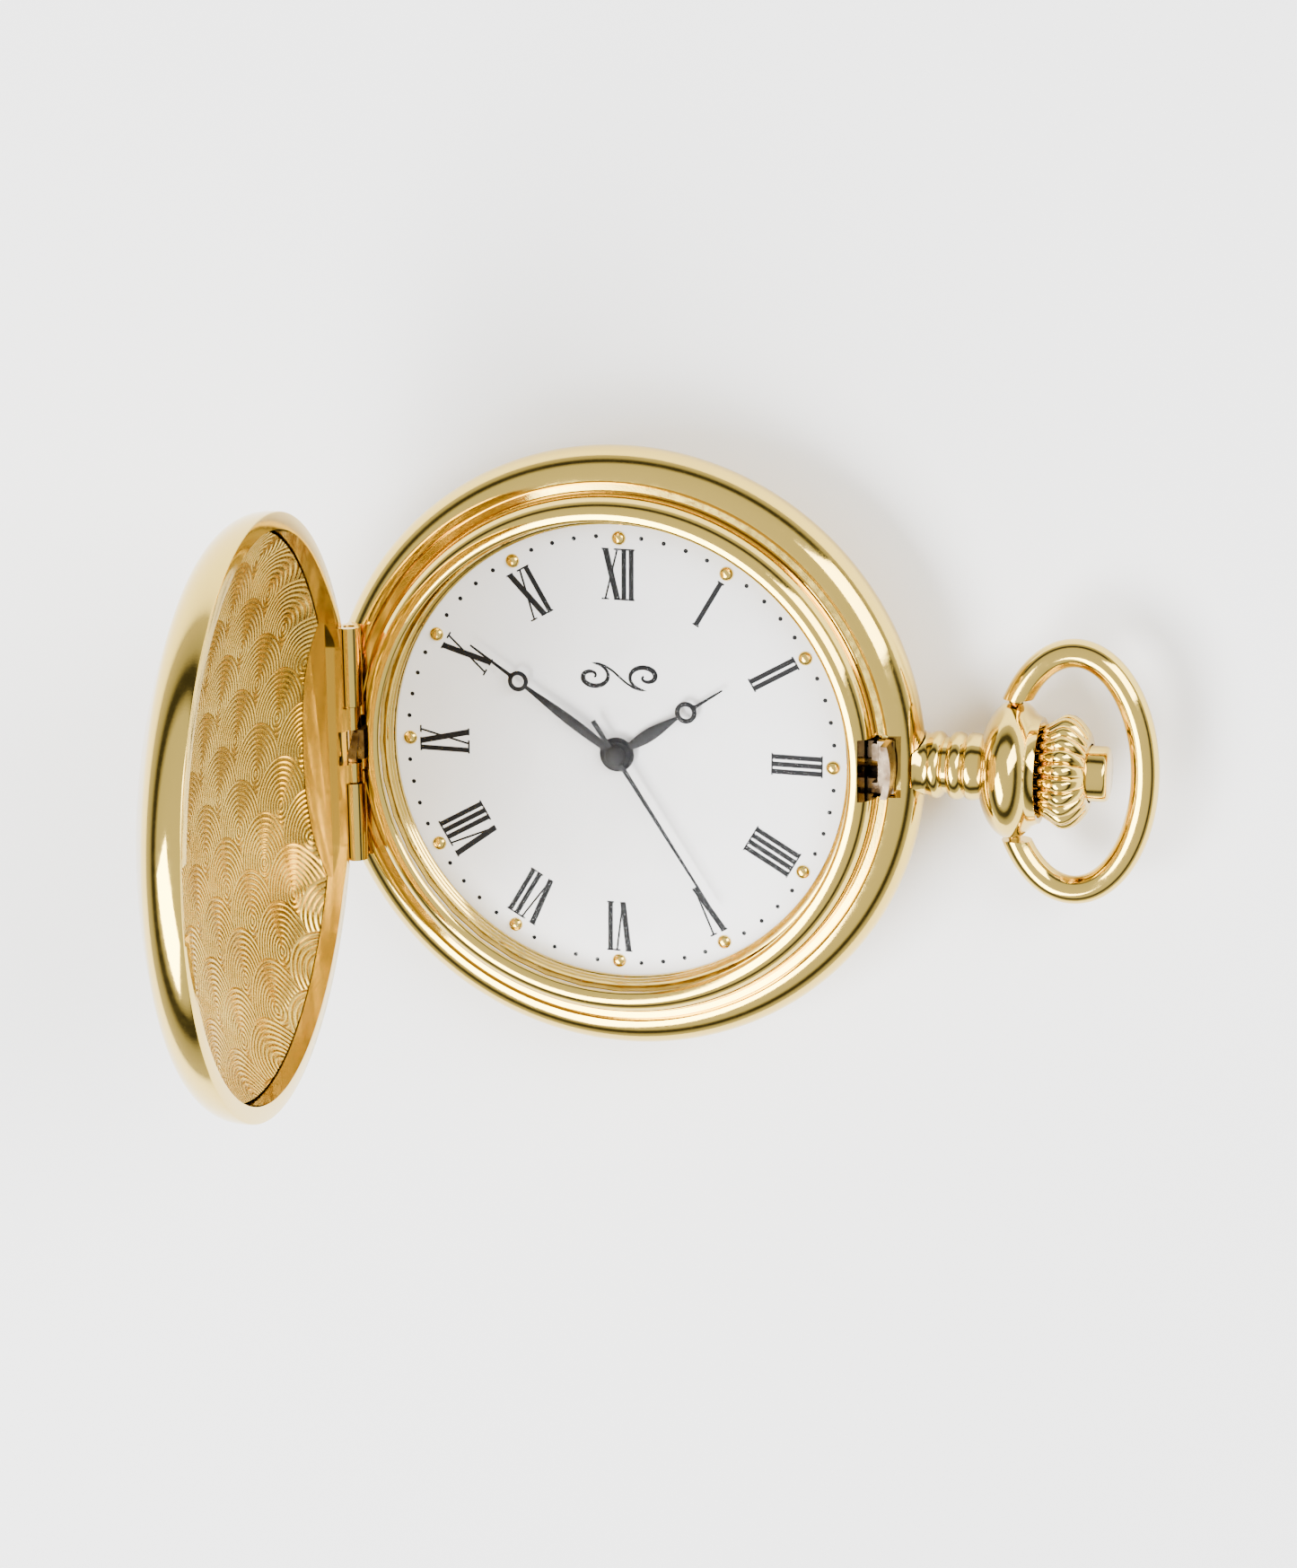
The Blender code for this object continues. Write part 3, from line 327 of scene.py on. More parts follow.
def opened():
    """The lid's turn from closed to open about its hinge, in millimetres."""
    hinge = Matrix.Translation(HINGE)
    return hinge @ Matrix.Rotation(-LID_OPEN, 4, "Y") @ hinge.inverted()


def arc(centre, radii, first, last, count):
    """Points on a circle or an ellipse, with angles in degrees."""
    turns = [math.radians(first + (last - first) * i / (count - 1)) for i in range(count)]
    return [(centre[0] + radii[0] * math.cos(t), centre[1] + radii[1] * math.sin(t)) for t in turns]


def eased(profile, size):
    """The closed profile with each corner eased by a small curve, as polishing leaves it."""
    points = []
    for i in range(len(profile)):
        before, here, after = (Vector(profile[k % len(profile)]) for k in (i - 1, i, i + 1))
        reach = min(size, (here - before).length * 0.45, (after - here).length * 0.45)
        low = here + (before - here).normalized() * reach
        high = here + (after - here).normalized() * reach
        for t in (0, 0.25, 0.5, 0.75, 1):
            points.append(tuple((1 - t) ** 2 * low + 2 * t * (1 - t) * here + t * t * high))
    return points


def spun(profile, steps, axis="Z"):
    """A turned solid from (radius, height) points. One that starts on the axis ends on it too."""
    made = bmesh.new()
    verts = [made.verts.new((r, 0.0, z)) for r, z in profile]
    pairs = list(zip(verts, verts[1:]))
    if profile[0][0] > WELD:
        pairs.append((verts[-1], verts[0]))
    edges = [made.edges.new(pair) for pair in pairs]
    whole = {"cent": (0, 0, 0), "axis": (0, 0, 1), "angle": math.tau, "use_merge": True}
    bmesh.ops.spin(made, geom=verts + edges, steps=steps, **whole)
    bmesh.ops.remove_doubles(made, verts=made.verts, dist=WELD)
    bmesh.ops.recalc_face_normals(made, faces=made.faces)
    if axis != "Z":
        bmesh.ops.rotate(made, verts=made.verts, matrix=ALONG[axis])
    return made


def rod(radius, low, high, axis, at=(0, 0, 0), steps=64):
    """A round bar or bore along an axis."""
    made = spun([(0, high), (radius, high), (radius, low), (0, low)], steps, axis)
    bmesh.ops.translate(made, verts=made.verts, vec=at)
    return made


def block(low, high):
    """A box between two corners, for windows and webs."""
    made = bmesh.new()
    size = Matrix.Diagonal([b - a for a, b in zip(low, high)]).to_4x4()
    centre = Matrix.Translation([(a + b) / 2 for a, b in zip(low, high)])
    bmesh.ops.create_cube(made, size=1.0, matrix=centre @ size)
    return made


def shown(made, name="tool"):
    """Turns a bmesh into an object in the scene."""
    mesh = bpy.data.meshes.new(name)
    made.to_mesh(mesh)
    made.free()
    obj = bpy.data.objects.new(name, mesh)
    bpy.context.scene.collection.objects.link(obj)
    return obj


def worked(made, steps):
    """The bmesh with each tool of (operation, bmesh) applied in order."""
    obj = shown(made)
    tools = []
    for operation, tool in steps:
        tools.append(shown(tool))
        modifier = obj.modifiers.new("tool", "BOOLEAN")
        modifier.operation = operation
        modifier.solver = "EXACT"
        modifier.object = tools[-1]
    bpy.context.view_layer.update()
    result = bmesh.new()
    result.from_object(obj, bpy.context.evaluated_depsgraph_get())
    for used in [obj, *tools]:
        bpy.data.objects.remove(used, do_unlink=True)
    return result


def settle(name, made, material, body, slot, replaced=(), place=None, sharp=SHARP):
    """Puts a finished bmesh in its place as a named piece that rides on a body."""
    bmesh.ops.transform(made, matrix=place or lift(), verts=made.verts)
    bmesh.ops.recalc_face_normals(made, faces=made.faces)
    obj = shown(made, name)
    mesh = obj.data
    mesh.materials.clear()
    mesh.materials.append(MATERIALS[material])
    mesh.shade_smooth()
    mesh.set_sharp_from_angle(angle=math.radians(sharp))
    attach(obj, body)
    if replaced:
        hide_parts(*replaced)
    return obj


def plate(outlines, low, high, bevel=0.0):
    """A flat piece cut from sheet: its outline, the outlines of its holes, and softened edges."""
    curve = bpy.data.curves.new("plate", "CURVE")
    curve.dimensions = "2D"
    curve.fill_mode = "BOTH"
    curve.extrude = (high - low) / 2 - bevel
    curve.bevel_depth = bevel
    curve.offset = -bevel
    curve.bevel_resolution = 1
    for outline in outlines:
        spline = curve.splines.new("POLY")
        spline.points.add(len(outline) - 1)
        for point, (x, y) in zip(spline.points, outline):
            point.co = (x, y, 0, 1)
        spline.use_cyclic_u = True
    return from_curve(curve, (low + high) / 2)


def wire(points, radius, fineness):
    """A round wire along points, as a curve that can still be shaped."""
    curve = bpy.data.curves.new("wire", "CURVE")
    curve.dimensions = "3D"
    curve.bevel_depth = radius
    curve.bevel_resolution = fineness
    curve.use_fill_caps = True
    spline = curve.splines.new("POLY")
    spline.points.add(len(points) - 1)
    for point, (x, y) in zip(spline.points, points):
        point.co = (x, y, 0, 1)
    return curve


def from_curve(curve, height=0.0):
    """The mesh of a curve, welded and raised to its height."""
    obj = bpy.data.objects.new("curve", curve)
    bpy.context.scene.collection.objects.link(obj)
    bpy.context.view_layer.update()
    graph = bpy.context.evaluated_depsgraph_get()
    mesh = bpy.data.meshes.new_from_object(obj.evaluated_get(graph))
    made = bmesh.new()
    made.from_mesh(mesh)
    bpy.data.objects.remove(obj, do_unlink=True)
    bmesh.ops.remove_doubles(made, verts=made.verts, dist=WELD)
    bmesh.ops.recalc_face_normals(made, faces=made.faces)
    bmesh.ops.translate(made, verts=made.verts, vec=(0, 0, height))
    return made


def gather(parts):
    """One bmesh from several."""
    whole = bmesh.new()
    for part in parts:
        mesh = bpy.data.meshes.new("part")
        part.to_mesh(mesh)
        part.free()
        whole.from_mesh(mesh)
        bpy.data.meshes.remove(mesh)
    return whole


# ---------------------------------------------------------------- case


def build_case_band(steps):
    """The band with its round bead, two fine grooves on its flat top, windows and hinge lugs."""
    bead = arc(BEAD_CENTRE, (BEAD_RADIUS, BEAD_RADIUS), 90, -90, 49)
    band = [(CASE_BORE, 7.3), (20.52, 7.3), (20.6, 7.22), (20.68, 7.3), (21.14, 7.3), (21.22, 7.2)]
    band.append((21.3, 7.3))
    under = [(21.1, 2.6), (CASE_BORE, 2.6)]
    tools = [
        ("DIFFERENCE", rod(1.35, 19, 25, "X", (0, 0, AXIS_Z))),
        ("DIFFERENCE", block((19.5, LATCH_WINDOW[0], 6.3), (22.2, LATCH_WINDOW[1], 9))),
        ("DIFFERENCE", block((19.5, LATCH_WINDOW[0], 5.3), (20.55, LATCH_WINDOW[1], 6.4))),
        ("DIFFERENCE", block((-21.2, -1.8, 5.3), (-19.5, 1.8, 9))),
        ("DIFFERENCE", block((-21.2, -KNUCKLE_SPLIT, 6.2), (-19.5, KNUCKLE_SPLIT, 9))),
        ("DIFFERENCE", rod(KNUCKLE_COVE, -9.5, 9.5, "Y", HINGE)),
    ]
    for low, high in ((-HINGE_HALF, -KNUCKLE_SPLIT), (KNUCKLE_SPLIT, HINGE_HALF)):
        tools.append(("UNION", block((HINGE_X - 0.5, low, 6.7), (HINGE_X + 0.5, high, HINGE_Z))))
        tools.append(("UNION", rod(KNUCKLE, low, high, "Y", HINGE)))
    tools.append(("DIFFERENCE", rod(PIN_BORE, -10, 10, "Y", HINGE, 24)))
    made = worked(spun(band + bead + under, steps), tools)
    settle("case_band", made, *GOLD_CASE, ["case_middle"])


def build_bezel(steps):
    """The bezel, cut away for the latch, the hinge lugs and the lid spring."""
    slope = arc((19.15, 7.4), (1.35, 1.82), 90, 0, 25)
    skirt = [(20.1, 7.4), (20.1, 6.5), (19.1, 6.5), (19.1, 8.65), (18.55, 8.65), (18.55, 9.0)]
    lip = [(18.62, 9.1), (18.8, 9.18)]
    made = worked(
        spun(skirt[2:] + lip + slope + skirt[:2], steps),
        [
            ("DIFFERENCE", block((19.25, LATCH_WINDOW[0], 6), (22, LATCH_WINDOW[1], 10))),
            ("DIFFERENCE", block((-22, -KNUCKLE_SPLIT, 6), (-19.8, KNUCKLE_SPLIT, 10))),
            ("DIFFERENCE", block((-22, -1.8, 6), (-19.3, 1.8, 10))),
            ("DIFFERENCE", block((-22, -9.6, 7.3), (-19.4, 9.6, 10))),
        ],
    )
    settle("bezel_ring", made, *GOLD_CASE, ["bezel"])


def build_case(steps):
    build_case_band(steps)
    build_bezel(steps)
    stairs = [(17.9, 6.5), (17.92, 6.75), (18.0, 6.82), (18.02, 7.05), (18.12, 7.12), (18.14, 7.35)]
    stairs += [(18.26, 7.42), (18.28, 7.62), (18.38, 7.75), (18.98, 7.75), (19.0, 7.7), (19.0, 6.5)]
    settle("rehaut", spun(stairs, steps), *GOLD_CASE, ["rehaut_ring"])
    outside = [(0, -1.1), (12.9, -1.1), (13.1, -1.08), (16.8, -0.5), (18.4, 0.08), (19.4, 0.6)]
    outside += [(20.2, 1.14), (20.7, 1.7), (20.95, 2.2), (21.0, 2.5), (20.1, 2.5), (20.1, 3.2)]
    inside = [(19.4, 3.2), (19.4, 2.1), (18.6, 1.2), (16.2, 0.4), (12.9, 0), (0, 0)]
    settle("case_back", spun(outside + inside, steps), *GOLD_CASE, ["back_cover"])


def build_crystal(steps):
    top = arc((0, 8.55), (18.4, 0.75), 90, 0, 40)
    profile = [(0, top[0][1]), *top[1:], (18.8, 8.5), (18.8, 7.85), (0, 7.85)]
    finish = ("mineral_crystal_glass", "case", "mineral_glass")
    settle("domed_crystal", spun(profile, steps), *finish, ["crystal"])


# ---------------------------------------------------------------- dial


NUMERALS = ("XII", "I", "II", "III", "IIII", "V", "VI", "VII", "VIII", "IX", "X", "XI")
LETTER_WIDTH = {"I": 0.58, "V": 1.4, "X": 1.4}


def stroke(made, bottom, top, width):
    """A straight pen stroke of even width with level ends. Each is a trace thicker than the one before."""
    thick = INK_THICK + INK_RISE * len(made.faces)
    lean = Matrix(((width, top[0] - bottom[0], 0), (0, top[1] - bottom[1], 0), (0, 0, thick))).to_4x4()
    middle = Matrix.Translation(((bottom[0] + top[0]) / 2, (bottom[1] + top[1]) / 2, thick / 2))
    bmesh.ops.create_cube(made, size=1.0, matrix=middle @ lean)


def numeral(text, height):
    """A Roman numeral in upright book letters, centred on its foot."""
    made = bmesh.new()
    x = -sum(LETTER_WIDTH[letter] for letter in text) / 2
    serif = 0.12
    for letter in text:
        wide = LETTER_WIDTH[letter]
        left, middle, right = x + 0.22, x + wide / 2, x + wide - 0.22
        if letter == "I":
            stroke(made, (middle, 0), (middle, height), 0.37)
            feet = [(middle, 0), (middle, height)]
        elif letter == "V":
            stroke(made, (middle, 0), (left, height), 0.44)
            stroke(made, (middle, 0), (right, height), 0.14)
            feet = [(left, height), (right, height)]
        else:
            stroke(made, (right, 0), (left, height), 0.46)
            stroke(made, (left, 0), (right, height), 0.14)
            feet = [(left, 0), (right, 0), (left, height), (right, height)]
        for centre, level in feet:
            edge = serif / 2 if level == 0 else level - serif / 2
            stroke(made, (centre, edge - serif / 2), (centre, edge + serif / 2), 0.56)
        x += wide
    return made


def flourish():
    """A plain pen scroll under twelve: two mirrored spirals joined by a wave."""
    points = [(0.0, 0.0), (0.5, -0.42), (1.1, -0.78), (1.6, -0.93)]
    for i in range(49):
        t = i / 48
        angle = math.pi * (0.5 + 2.6 * t)
        reach = 1.15 * (1 - t) ** 0.9 + 0.12
        points.append((2.1 + reach * math.cos(angle) * 1.15, 0.1 - reach * math.sin(angle) * 0.85))
    parts = []
    for side in (1, -1):
        curve = wire([(side * x, side * y) for x, y in points], 0.15, 2)
        for i, point in enumerate(curve.splines[0].points):
            point.radius = 0.55 + 0.75 * math.sin(math.pi * i / (len(points) - 1)) ** 2
        parts.append(from_curve(curve))
    made = gather(parts)
    bmesh.ops.scale(made, verts=made.verts, vec=(1, 1, 0.2))
    return made


def build_dial(sizes):
    steps = sizes.steps
    ground = spun(eased([(0.95, DIAL_FACE), (18.9, DIAL_FACE), (18.9, 6.0), (0.95, 6.0)], 0.05), steps)
    settle("dial_plate", ground, "white_dial_enamel", "case", "white_enamel", ["dial"])
    printing = []
    tall = sizes.numeral_height / MM
    for hour, text in enumerate(NUMERALS):
        made = numeral(text, tall)
        turn = Matrix.Rotation(DIAL_TURN - math.radians(30 * hour), 4, "Z")
        bmesh.ops.transform(made, verts=made.verts, matrix=turn @ Matrix.Translation((0, 12.0, 0)))
        printing.append(made)
    face = lift(DIAL_FACE)
    settle("hour_numerals", gather(printing), *INK_CASE, place=face)
    build_minutes(sizes, face)
    scroll = flourish()
    bmesh.ops.rotate(scroll, verts=scroll.verts, matrix=Matrix.Rotation(DIAL_TURN, 3, "Z"))
    bmesh.ops.translate(scroll, verts=scroll.verts, vec=(0.1, 6.0, 0.02))
    settle("scroll_flourish", scroll, *INK_CASE, place=face)


def build_minutes(sizes, face):
    """Printed minute dots, and a domed stud at each hour."""
    dots, studs = bmesh.new(), bmesh.new()
    for minute in range(60):
        turn = Matrix.Rotation(DIAL_TURN - math.radians(6 * minute), 4, "Z")
        if minute % 5:
            at = turn @ Matrix.Translation((0, 16.95, 0.012)) @ Matrix.Diagonal((1, 1, 0.1, 1))
            radius = sizes.dot_radius / MM
            bmesh.ops.create_uvsphere(dots, u_segments=16, v_segments=6, radius=radius, matrix=at)
        else:
            at = turn @ Matrix.Translation((0, 16.8, 0.0)) @ Matrix.Diagonal((1, 1, 0.62, 1))
            bmesh.ops.create_uvsphere(studs, u_segments=32, v_segments=16, radius=0.55, matrix=at)
    settle("minute_dots", dots, *INK_CASE, place=face)
    settle("hour_studs", studs, *GOLD_CASE, place=face)


# ---------------------------------------------------------------- hands


def pomme(hub, bore, body, eye_at, eye, length):
    """The outline and holes of a hand with a round hub, a leaf body, a pierced round eye and a fine point."""
    outer, inner = eye
    first, neck = hub * 0.95, eye_at - outer * 0.96
    count = 14
    right = []
    for i in range(count):
        t = i / (count - 1)
        belly = math.sin(math.pi * t**0.85) ** 1.3
        right.append((0.3 * (1 - t) + 0.14 * t + (body - 0.25) * belly, first + (neck - first) * t))
    ring = arc((0, eye_at), (outer, outer), -72, 76, 22)
    half = right + ring + [(0.13, eye_at + outer * 1.08), (0.06, length)]
    outline = half + [(-x, y) for x, y in half[::-1]] + arc((0, 0), (hub, hub), 105, 435, 40)
    return [outline, arc((0, 0), (bore, bore), 0, 350, 36), arc((0, eye_at), (inner, inner), 0, 350, 36)]


def build_hands():
    hour = pomme(1.35, 0.9, 0.52, 6.57, (0.85, 0.5), 10.0)
    minute = pomme(1.1, 0.54, 0.42, 9.43, (0.8, 0.48), 14.05)
    rows = (
        ("hour_pomme_hand", hour, 6.95, HOUR_TURN, "hours", "hour_hand"),
        ("minute_pomme_hand", minute, 7.2, MINUTE_TURN, "minutes", "minute_hand"),
    )
    for name, outlines, level, turn, body, old in rows:
        made = plate(outlines, level, level + HAND_THICK, 0.03)
        bmesh.ops.rotate(made, verts=made.verts, matrix=Matrix.Rotation(DIAL_TURN - turn, 3, "Z"))
        settle(name, made, "black_hand_lacquer", body, "black_paint", [old], sharp=SOFT_SHARP)
    edge = [(0.18, -3.2), (0.18, 0), (0.06, 14.1)]
    needle = plate([edge + [(-x, y) for x, y in edge[::-1]]], 7.45, 7.58)
    cap = [(0, 7.78), (0.45, 7.77), (0.7, 7.7), (0.8, 7.58), (0.8, 7.42), (0, 7.42)]
    made = worked(needle, [("UNION", spun(cap, 48))])
    bmesh.ops.rotate(made, verts=made.verts, matrix=Matrix.Rotation(DIAL_TURN - SECOND_TURN, 3, "Z"))
    settle("seconds_needle", made, "black_hand_lacquer", "seconds", "black_paint", ["seconds_hand"])


# ---------------------------------------------------------------- lid


def dome(offset, largest, fine=20):
    """The lid's outer surface moved inwards, from its top down to the shoulder's side or a largest radius."""
    centre = LID_RADIUS - SHOULDER
    drop = math.sqrt((DOME_RADIUS - SHOULDER) ** 2 - centre**2) - LID_EDGE
    tangent = math.asin(centre / (DOME_RADIUS - SHOULDER))
    last = math.asin(min(1, (largest - centre) / (SHOULDER - offset)))
    crown = [tangent * i / fine for i in range(fine + 1)]
    side = [tangent + (last - tangent) * i / fine for i in range(1, fine + 1)]
    large, small = DOME_RADIUS - offset, SHOULDER - offset
    points = [(large * math.sin(t), large * math.cos(t) - drop) for t in crown]
    points += [(centre + small * math.sin(t), LID_EDGE + small * math.cos(t)) for t in side]
    return [(r, z + LID_RIM) for r, z in points]


def build_lid_shell(steps):
    """The domed lid with a flat wall at its hinge side, its knuckle and the slots for both springs."""
    corner = [(LID_RADIUS, LID_RIM + LID_EDGE), (LID_RADIUS, LID_RIM + 0.12)]
    corner += [(LID_RADIUS - 0.04, LID_RIM + 0.04), (LID_RADIUS - 0.12, LID_RIM), (0, LID_RIM)]
    solid = spun(dome(0, LID_RADIUS)[:-1] + corner, steps)
    hollow = spun(dome(LID_WALL, LID_BORE) + [(LID_BORE, LID_RIM - 1), (0, LID_RIM - 1)], steps)
    cavity = worked(
        hollow,
        [
            ("DIFFERENCE", block((-24, -12, BLOCK_STEP), (BLOCK_X, 12, 20))),
            ("DIFFERENCE", block((-25, -13, 6), (BLOCK_FOOT_X, 13, 9.45))),
        ],
    )
    tools = [
        ("DIFFERENCE", cavity),
        ("DIFFERENCE", block((-24, -CHORD_HALF, 6), (CHORD_X, CHORD_HALF, 20))),
        ("DIFFERENCE", rod(KNUCKLE_COVE, -CHORD_HALF, -3.05, "Y", HINGE)),
        ("DIFFERENCE", rod(KNUCKLE_COVE, 3.05, CHORD_HALF, "Y", HINGE)),
        ("UNION", block((HINGE_X, -2.98, HINGE_Z + 0.1), (-19.8, 2.98, HINGE_Z + 0.66))),
        ("UNION", rod(LID_KNUCKLE, -3, 3, "Y", HINGE)),
        ("DIFFERENCE", block((-23, -1.5, 6), (-19, 1.2, HINGE_Z + 0.75))),
        ("DIFFERENCE", rod(PIN_BORE, -4, 4, "Y", HINGE, 24)),
        ("DIFFERENCE", block((20.5, -2.2, 6), (21.9, 2.8, LID_RIM + 1))),
    ]
    finish = ("polished_gold_plate", "lid", "polished_gold")
    settle("hunter_lid", worked(solid, tools), *finish, ["lid_shell"], lift() @ opened())


def build_lid_plate(steps):
    """The shallow engraved bowl that lines the lid."""
    under = [(18.6 * i / 20, 5.6 - (18.6 * i / 20) ** 2 / 128) for i in range(21)]
    under += [(19.2, 2.62), (19.8, 2.25), (20.3, 1.86), (20.85, 1.4)]
    over = [(r, z + 0.4) for r, z in under]
    profile = [(r, z + LID_RIM) for r, z in over + under[::-1]]
    bowl = worked(spun(profile, steps), [("DIFFERENCE", block((-24, -12, 6), (-18.3, 12, 20)))])
    finish = ("ring_engraved_gold", "lid", "satin_gold")
    settle("engraved_lid_plate", bowl, *finish, ["lid_liner"], lift() @ opened())


# ---------------------------------------------------------------- pendant, crown and bow


def build_pendant(steps):
    bulb = arc((0, 30.3), (5.27, 2.6), 36, 0, 14) + arc((0, 30.3), (5.27, 2.7), -6, -62, 18)
    neck = [(2.5, 27.75), (2.56, 27.4), (2.56, 27.0), (2.45, 26.8), (2.28, 26.68), (2.45, 26.5)]
    neck += [(2.58, 26.2), (2.58, 25.85), (2.45, 25.6), (2.14, 25.4), (2.14, 25.1), (2.4, 24.9)]
    neck += [(2.56, 24.65), (2.56, 24.35), (2.45, 24.1), (2.36, 23.85), (2.4, 23.6), (2.65, 23.2)]
    neck.append((2.75, 23.0))
    bore = [(1.35, 23.0), (1.35, 30.5), (2.6, 30.8), (3.4, 31.5)]
    made = spun([(3.6, 32.35), (3.75, 32.43), (4.0, 32.4)] + bulb + neck + bore, steps // 2, "X")
    seat = BEAD_RADIUS + 0.1
    saddle = arc((BEAD_CENTRE[0], BEAD_CENTRE[1] - AXIS_Z), (seat, seat), 100, -100, 33)
    tools = [("DIFFERENCE", spun(saddle, steps))]
    for low, high in ((3.5, 7), (-7, -3.5)):
        tools.append(("DIFFERENCE", rod(0.55, low, high, "Y", (BOW_PIVOT_X, 0, 0), 32)))
    settle("pendant_bulb", worked(made, tools), *GOLD_CASE, ["pendant"], lift(AXIS_Z), 40)


def build_crown():
    outer = [(2.6, 36.1), (3.0, 35.98), (3.45, 35.65), (3.8, 35.35), (4.1, 35.0), (4.28, 34.65), (4.35, 34.3)]
    outer += [(4.28, 34.0), (4.15, 33.75), (3.84, 33.3), (3.5, 32.7), (3.2, 32.2), (2.9, 31.7)]
    bore = [(1.05, 31.7), (1.05, 33.3), (2.25, 33.3)]
    made = spun([(2.25, 36.1)] + outer + bore, CROWN_RIDGES * 12)
    for vertex in made.verts:
        radius = math.hypot(vertex.co.x, vertex.co.y)
        if radius > 2.8:
            angle = math.atan2(vertex.co.y, vertex.co.x)
            wave = abs(math.cos(angle * CROWN_RIDGES / 2))
            depth = FLUTE_DEPTH * min(1, (radius - 2.8) / 0.5)
            vertex.co.xy *= 1 - depth * (1 - wave) ** 1.5
    bmesh.ops.rotate(made, verts=made.verts, matrix=ALONG["X"])
    finish = ("polished_gold_plate", "crown", "polished_gold")
    settle("fluted_crown", made, *finish, ["crown"], lift(AXIS_Z), SOFT_SHARP)


def build_button():
    head = [(0, 37.55), (1.72, 37.55), (1.9, 37.5), (2.02, 37.4), (2.1, 37.22), (2.1, 34.7)]
    sleeve = [(0.95, 34.7), (0.95, 20.3), (0.65, 20.3), (0.65, 34.4), (0, 34.4)]
    pin_slot = block((32.15, -2, -0.38), (33.55, 2, 0.38))
    made = worked(spun(head + sleeve, 64, "X"), [("DIFFERENCE", pin_slot)])
    finish = ("polished_gold_plate", "button", "polished_gold")
    settle("release_button", made, *finish, ["push_button"], lift(AXIS_Z))


def build_bow():
    points = arc((BOW_CENTRE_X, 0), BOW_HALF, 146, -146, 141)
    gap = block((20, -5.5, -5), (33.5, 5.5, 5))
    made = worked(from_curve(wire(points, BOW_WIRE, 12)), [("DIFFERENCE", gap)])
    finish = ("polished_gold_plate", "bow", "polished_gold")
    settle("bow_loop", made, *finish, ["bow"], lift(AXIS_Z), 40)


# ---------------------------------------------------------------- finishes of the remaining parts

FINISH_OF_SLOT = {
    "polished_gold": "polished_gold_plate",
    "satin_gold": "satin_gold_plate",
    "spring_steel": "ground_spring_steel",
    "brass": "turned_brass",
    "black_paint": "black_hand_lacquer",
    "white_enamel": "white_dial_enamel",
    "mineral_glass": "mineral_crystal_glass",
    "nitrile": "nitrile_rubber",
    "clear_nylon": "natural_nylon",
    "black_nylon": "black_nylon_moulding",
    "copper_wire": "wound_copper_wire",
    "circuit_green": "green_circuit_board",
}


def finish_inner_parts():
    """Gives every solid that keeps its shape the worked finish of its slot."""
    for row in frame["record"]["subparts"]:
        mesh = frame["nodes"][row["node"]].data
        mesh.materials.clear()
        mesh.materials.append(MATERIALS[FINISH_OF_SLOT[row["material_slot"]]])


# ---------------------------------------------------------------- stage


def area_light(name, at, size, power):
    """A soft rectangular light aimed at the watch."""
    light = bpy.data.lights.new(name, "AREA")
    light.shape = "RECTANGLE"
    light.size, light.size_y = size
    light.energy = power
    obj = bpy.data.objects.new(name, light)
    bpy.context.scene.collection.objects.link(obj)
    obj.location = at
    obj.rotation_euler = (-Vector(at)).to_track_quat("-Z", "Y").to_euler()


def build_stage():
    made = bmesh.new()
    bmesh.ops.create_grid(made, x_segments=1, y_segments=1, size=1.5)
    floor = shown(made, "studio_floor")
    start("white_card_floor", Base_Color=linear("FEFEFE"), Roughness=0.9)
    floor.data.materials.append(MATERIALS["white_card_floor"])

    world = bpy.data.worlds.new("studio")
    world.use_nodes = True
    bpy.context.scene.world = world
    tree = world.node_tree
    sky = tree.nodes["Background"]
    # Pale above and below, with a dark band above the horizon that gives the metal its dark lines.
    direction = node(tree, "ShaderNodeTexCoord").outputs["Generated"]
    up = node(tree, "ShaderNodeSeparateXYZ", i0=direction).outputs[2]
    ramp = node(tree, "ShaderNodeValToRGB", Fac=up)
    ramp.color_ramp.elements[0].color = (0.9, 0.88, 0.85, 1)
    ramp.color_ramp.elements[0].position = 0.0
    ramp.color_ramp.elements[1].color = (1, 1, 1, 1)
    ramp.color_ramp.elements[1].position = 1.0
    for position, value in ((0.2, 0.6), (0.33, 0.06), (0.46, 0.06), (0.6, 0.9)):
        ramp.color_ramp.elements.new(position).color = (value, value, value, 1)
    tree.links.new(ramp.outputs[0], sky.inputs[0])
    sky.inputs[1].default_value = 1.2
    area_light("key", (-0.25, -0.2, 0.5), (0.5, 0.3), 10.5)
    area_light("fill", (0.45, 0.25, 0.4), (0.3, 0.5), 7.0)

    # The camera's right, up and backward directions.
    rows = (
        (0.965448, 0.000151, -0.260595),
        (-0.072350, 0.960842, -0.267484),
        (0.250351, 0.277096, 0.927654),
    )
    camera = bpy.data.cameras.new("camera")
    camera.lens = 94.21
    camera.sensor_width = 36
    camera.clip_start = 0.01
    viewer = bpy.data.objects.new("camera", camera)
    bpy.context.scene.collection.objects.link(viewer)
    stand = Matrix.Translation((0.0810917, 0.0848226, 0.2993055))
    viewer.matrix_world = Matrix.Rotation(DIAL_TURN, 4, "Z") @ stand @ Matrix(rows).transposed().to_4x4()
    bpy.context.scene.camera = viewer


# ---------------------------------------------------------------- operators and panel


def sizes_of(context):
    return context.scene.watch_sizes


class WATCH_OT_materials(bpy.types.Operator):
    """Make the finishes and put them on the parts that keep their shape"""

    bl_idname = "watch.materials"
    bl_label = "Finishes"

    def execute(self, context):
        make_materials(sizes_of(context), context.scene.watch_colours)
        finish_inner_parts()
        return {"FINISHED"}


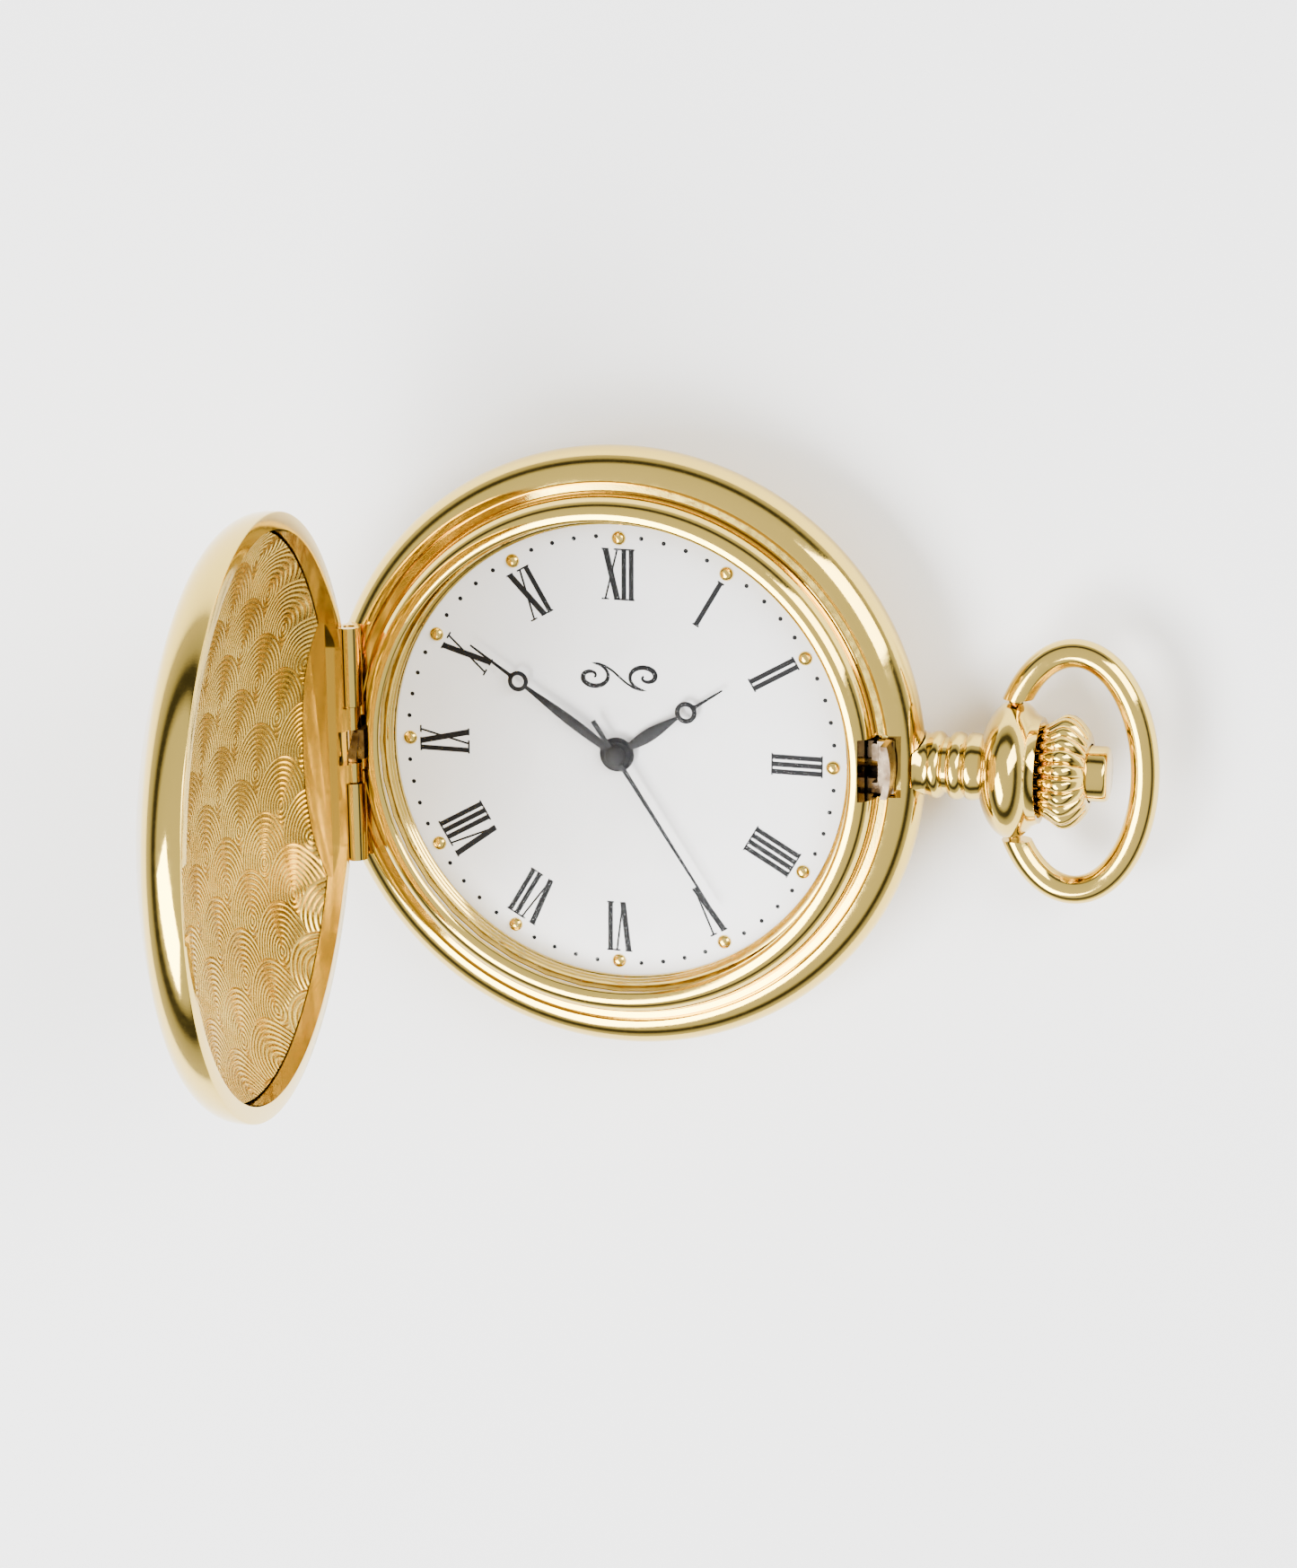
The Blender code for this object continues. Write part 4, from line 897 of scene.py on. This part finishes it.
class WATCH_OT_case(bpy.types.Operator):
    """Build the case band, bezel, rehaut and back"""

    bl_idname = "watch.case"
    bl_label = "Case"

    def execute(self, context):
        build_case(sizes_of(context).steps)
        return {"FINISHED"}


class WATCH_OT_crystal(bpy.types.Operator):
    """Build the domed crystal"""

    bl_idname = "watch.crystal"
    bl_label = "Crystal"

    def execute(self, context):
        build_crystal(sizes_of(context).steps)
        return {"FINISHED"}


class WATCH_OT_dial(bpy.types.Operator):
    """Build the dial with its numerals, dots, studs and flourish"""

    bl_idname = "watch.dial"
    bl_label = "Dial"

    def execute(self, context):
        build_dial(sizes_of(context))
        return {"FINISHED"}


class WATCH_OT_hands(bpy.types.Operator):
    """Build the hour, minute and seconds hands"""

    bl_idname = "watch.hands"
    bl_label = "Hands"

    def execute(self, context):
        build_hands()
        return {"FINISHED"}


class WATCH_OT_lid(bpy.types.Operator):
    """Build the lid and its engraved inner plate"""

    bl_idname = "watch.lid"
    bl_label = "Lid"

    def execute(self, context):
        build_lid_shell(sizes_of(context).steps)
        build_lid_plate(sizes_of(context).steps)
        return {"FINISHED"}


class WATCH_OT_pendant(bpy.types.Operator):
    """Build the pendant and its bulb"""

    bl_idname = "watch.pendant"
    bl_label = "Pendant"

    def execute(self, context):
        build_pendant(sizes_of(context).steps)
        return {"FINISHED"}


class WATCH_OT_crown(bpy.types.Operator):
    """Build the fluted crown and the release button"""

    bl_idname = "watch.crown"
    bl_label = "Crown and button"

    def execute(self, context):
        build_crown()
        build_button()
        return {"FINISHED"}


class WATCH_OT_bow(bpy.types.Operator):
    """Build the bow that a chain hangs on"""

    bl_idname = "watch.bow"
    bl_label = "Bow"

    def execute(self, context):
        build_bow()
        return {"FINISHED"}


class WATCH_OT_stage(bpy.types.Operator):
    """Set the floor, the studio light and the camera"""

    bl_idname = "watch.stage"
    bl_label = "Stage"

    def execute(self, context):
        build_stage()
        return {"FINISHED"}


OPERATORS = (
    WATCH_OT_materials,
    WATCH_OT_case,
    WATCH_OT_crystal,
    WATCH_OT_dial,
    WATCH_OT_hands,
    WATCH_OT_lid,
    WATCH_OT_pendant,
    WATCH_OT_crown,
    WATCH_OT_bow,
    WATCH_OT_stage,
)


class WATCH_PT_panel(bpy.types.Panel):
    """Sizes, colours and the steps that build the watch"""

    bl_idname = "WATCH_PT_panel"
    bl_label = "Pocket watch"
    bl_space_type = "VIEW_3D"
    bl_region_type = "UI"
    bl_category = "Watch"

    def draw(self, context):
        for group in (context.scene.watch_sizes, context.scene.watch_colours):
            for name in group.bl_rna.properties.keys():
                if name not in ("rna_type", "name"):
                    self.layout.prop(group, name)
        for operator in OPERATORS:
            self.layout.operator(operator.bl_idname)


CLASSES = (WatchSizes, WatchColours, *OPERATORS, WATCH_PT_panel)


def register():
    for each in CLASSES:
        bpy.utils.register_class(each)
    bpy.types.Scene.watch_sizes = PointerProperty(type=WatchSizes)
    bpy.types.Scene.watch_colours = PointerProperty(type=WatchColours)


def unregister():
    del bpy.types.Scene.watch_sizes
    del bpy.types.Scene.watch_colours
    for each in reversed(CLASSES):
        bpy.utils.unregister_class(each)


def main():
    register()
    for operator in OPERATORS:
        group, name = operator.bl_idname.split(".")
        getattr(getattr(bpy.ops, group), name)()


if __name__ == "__main__":
    main()
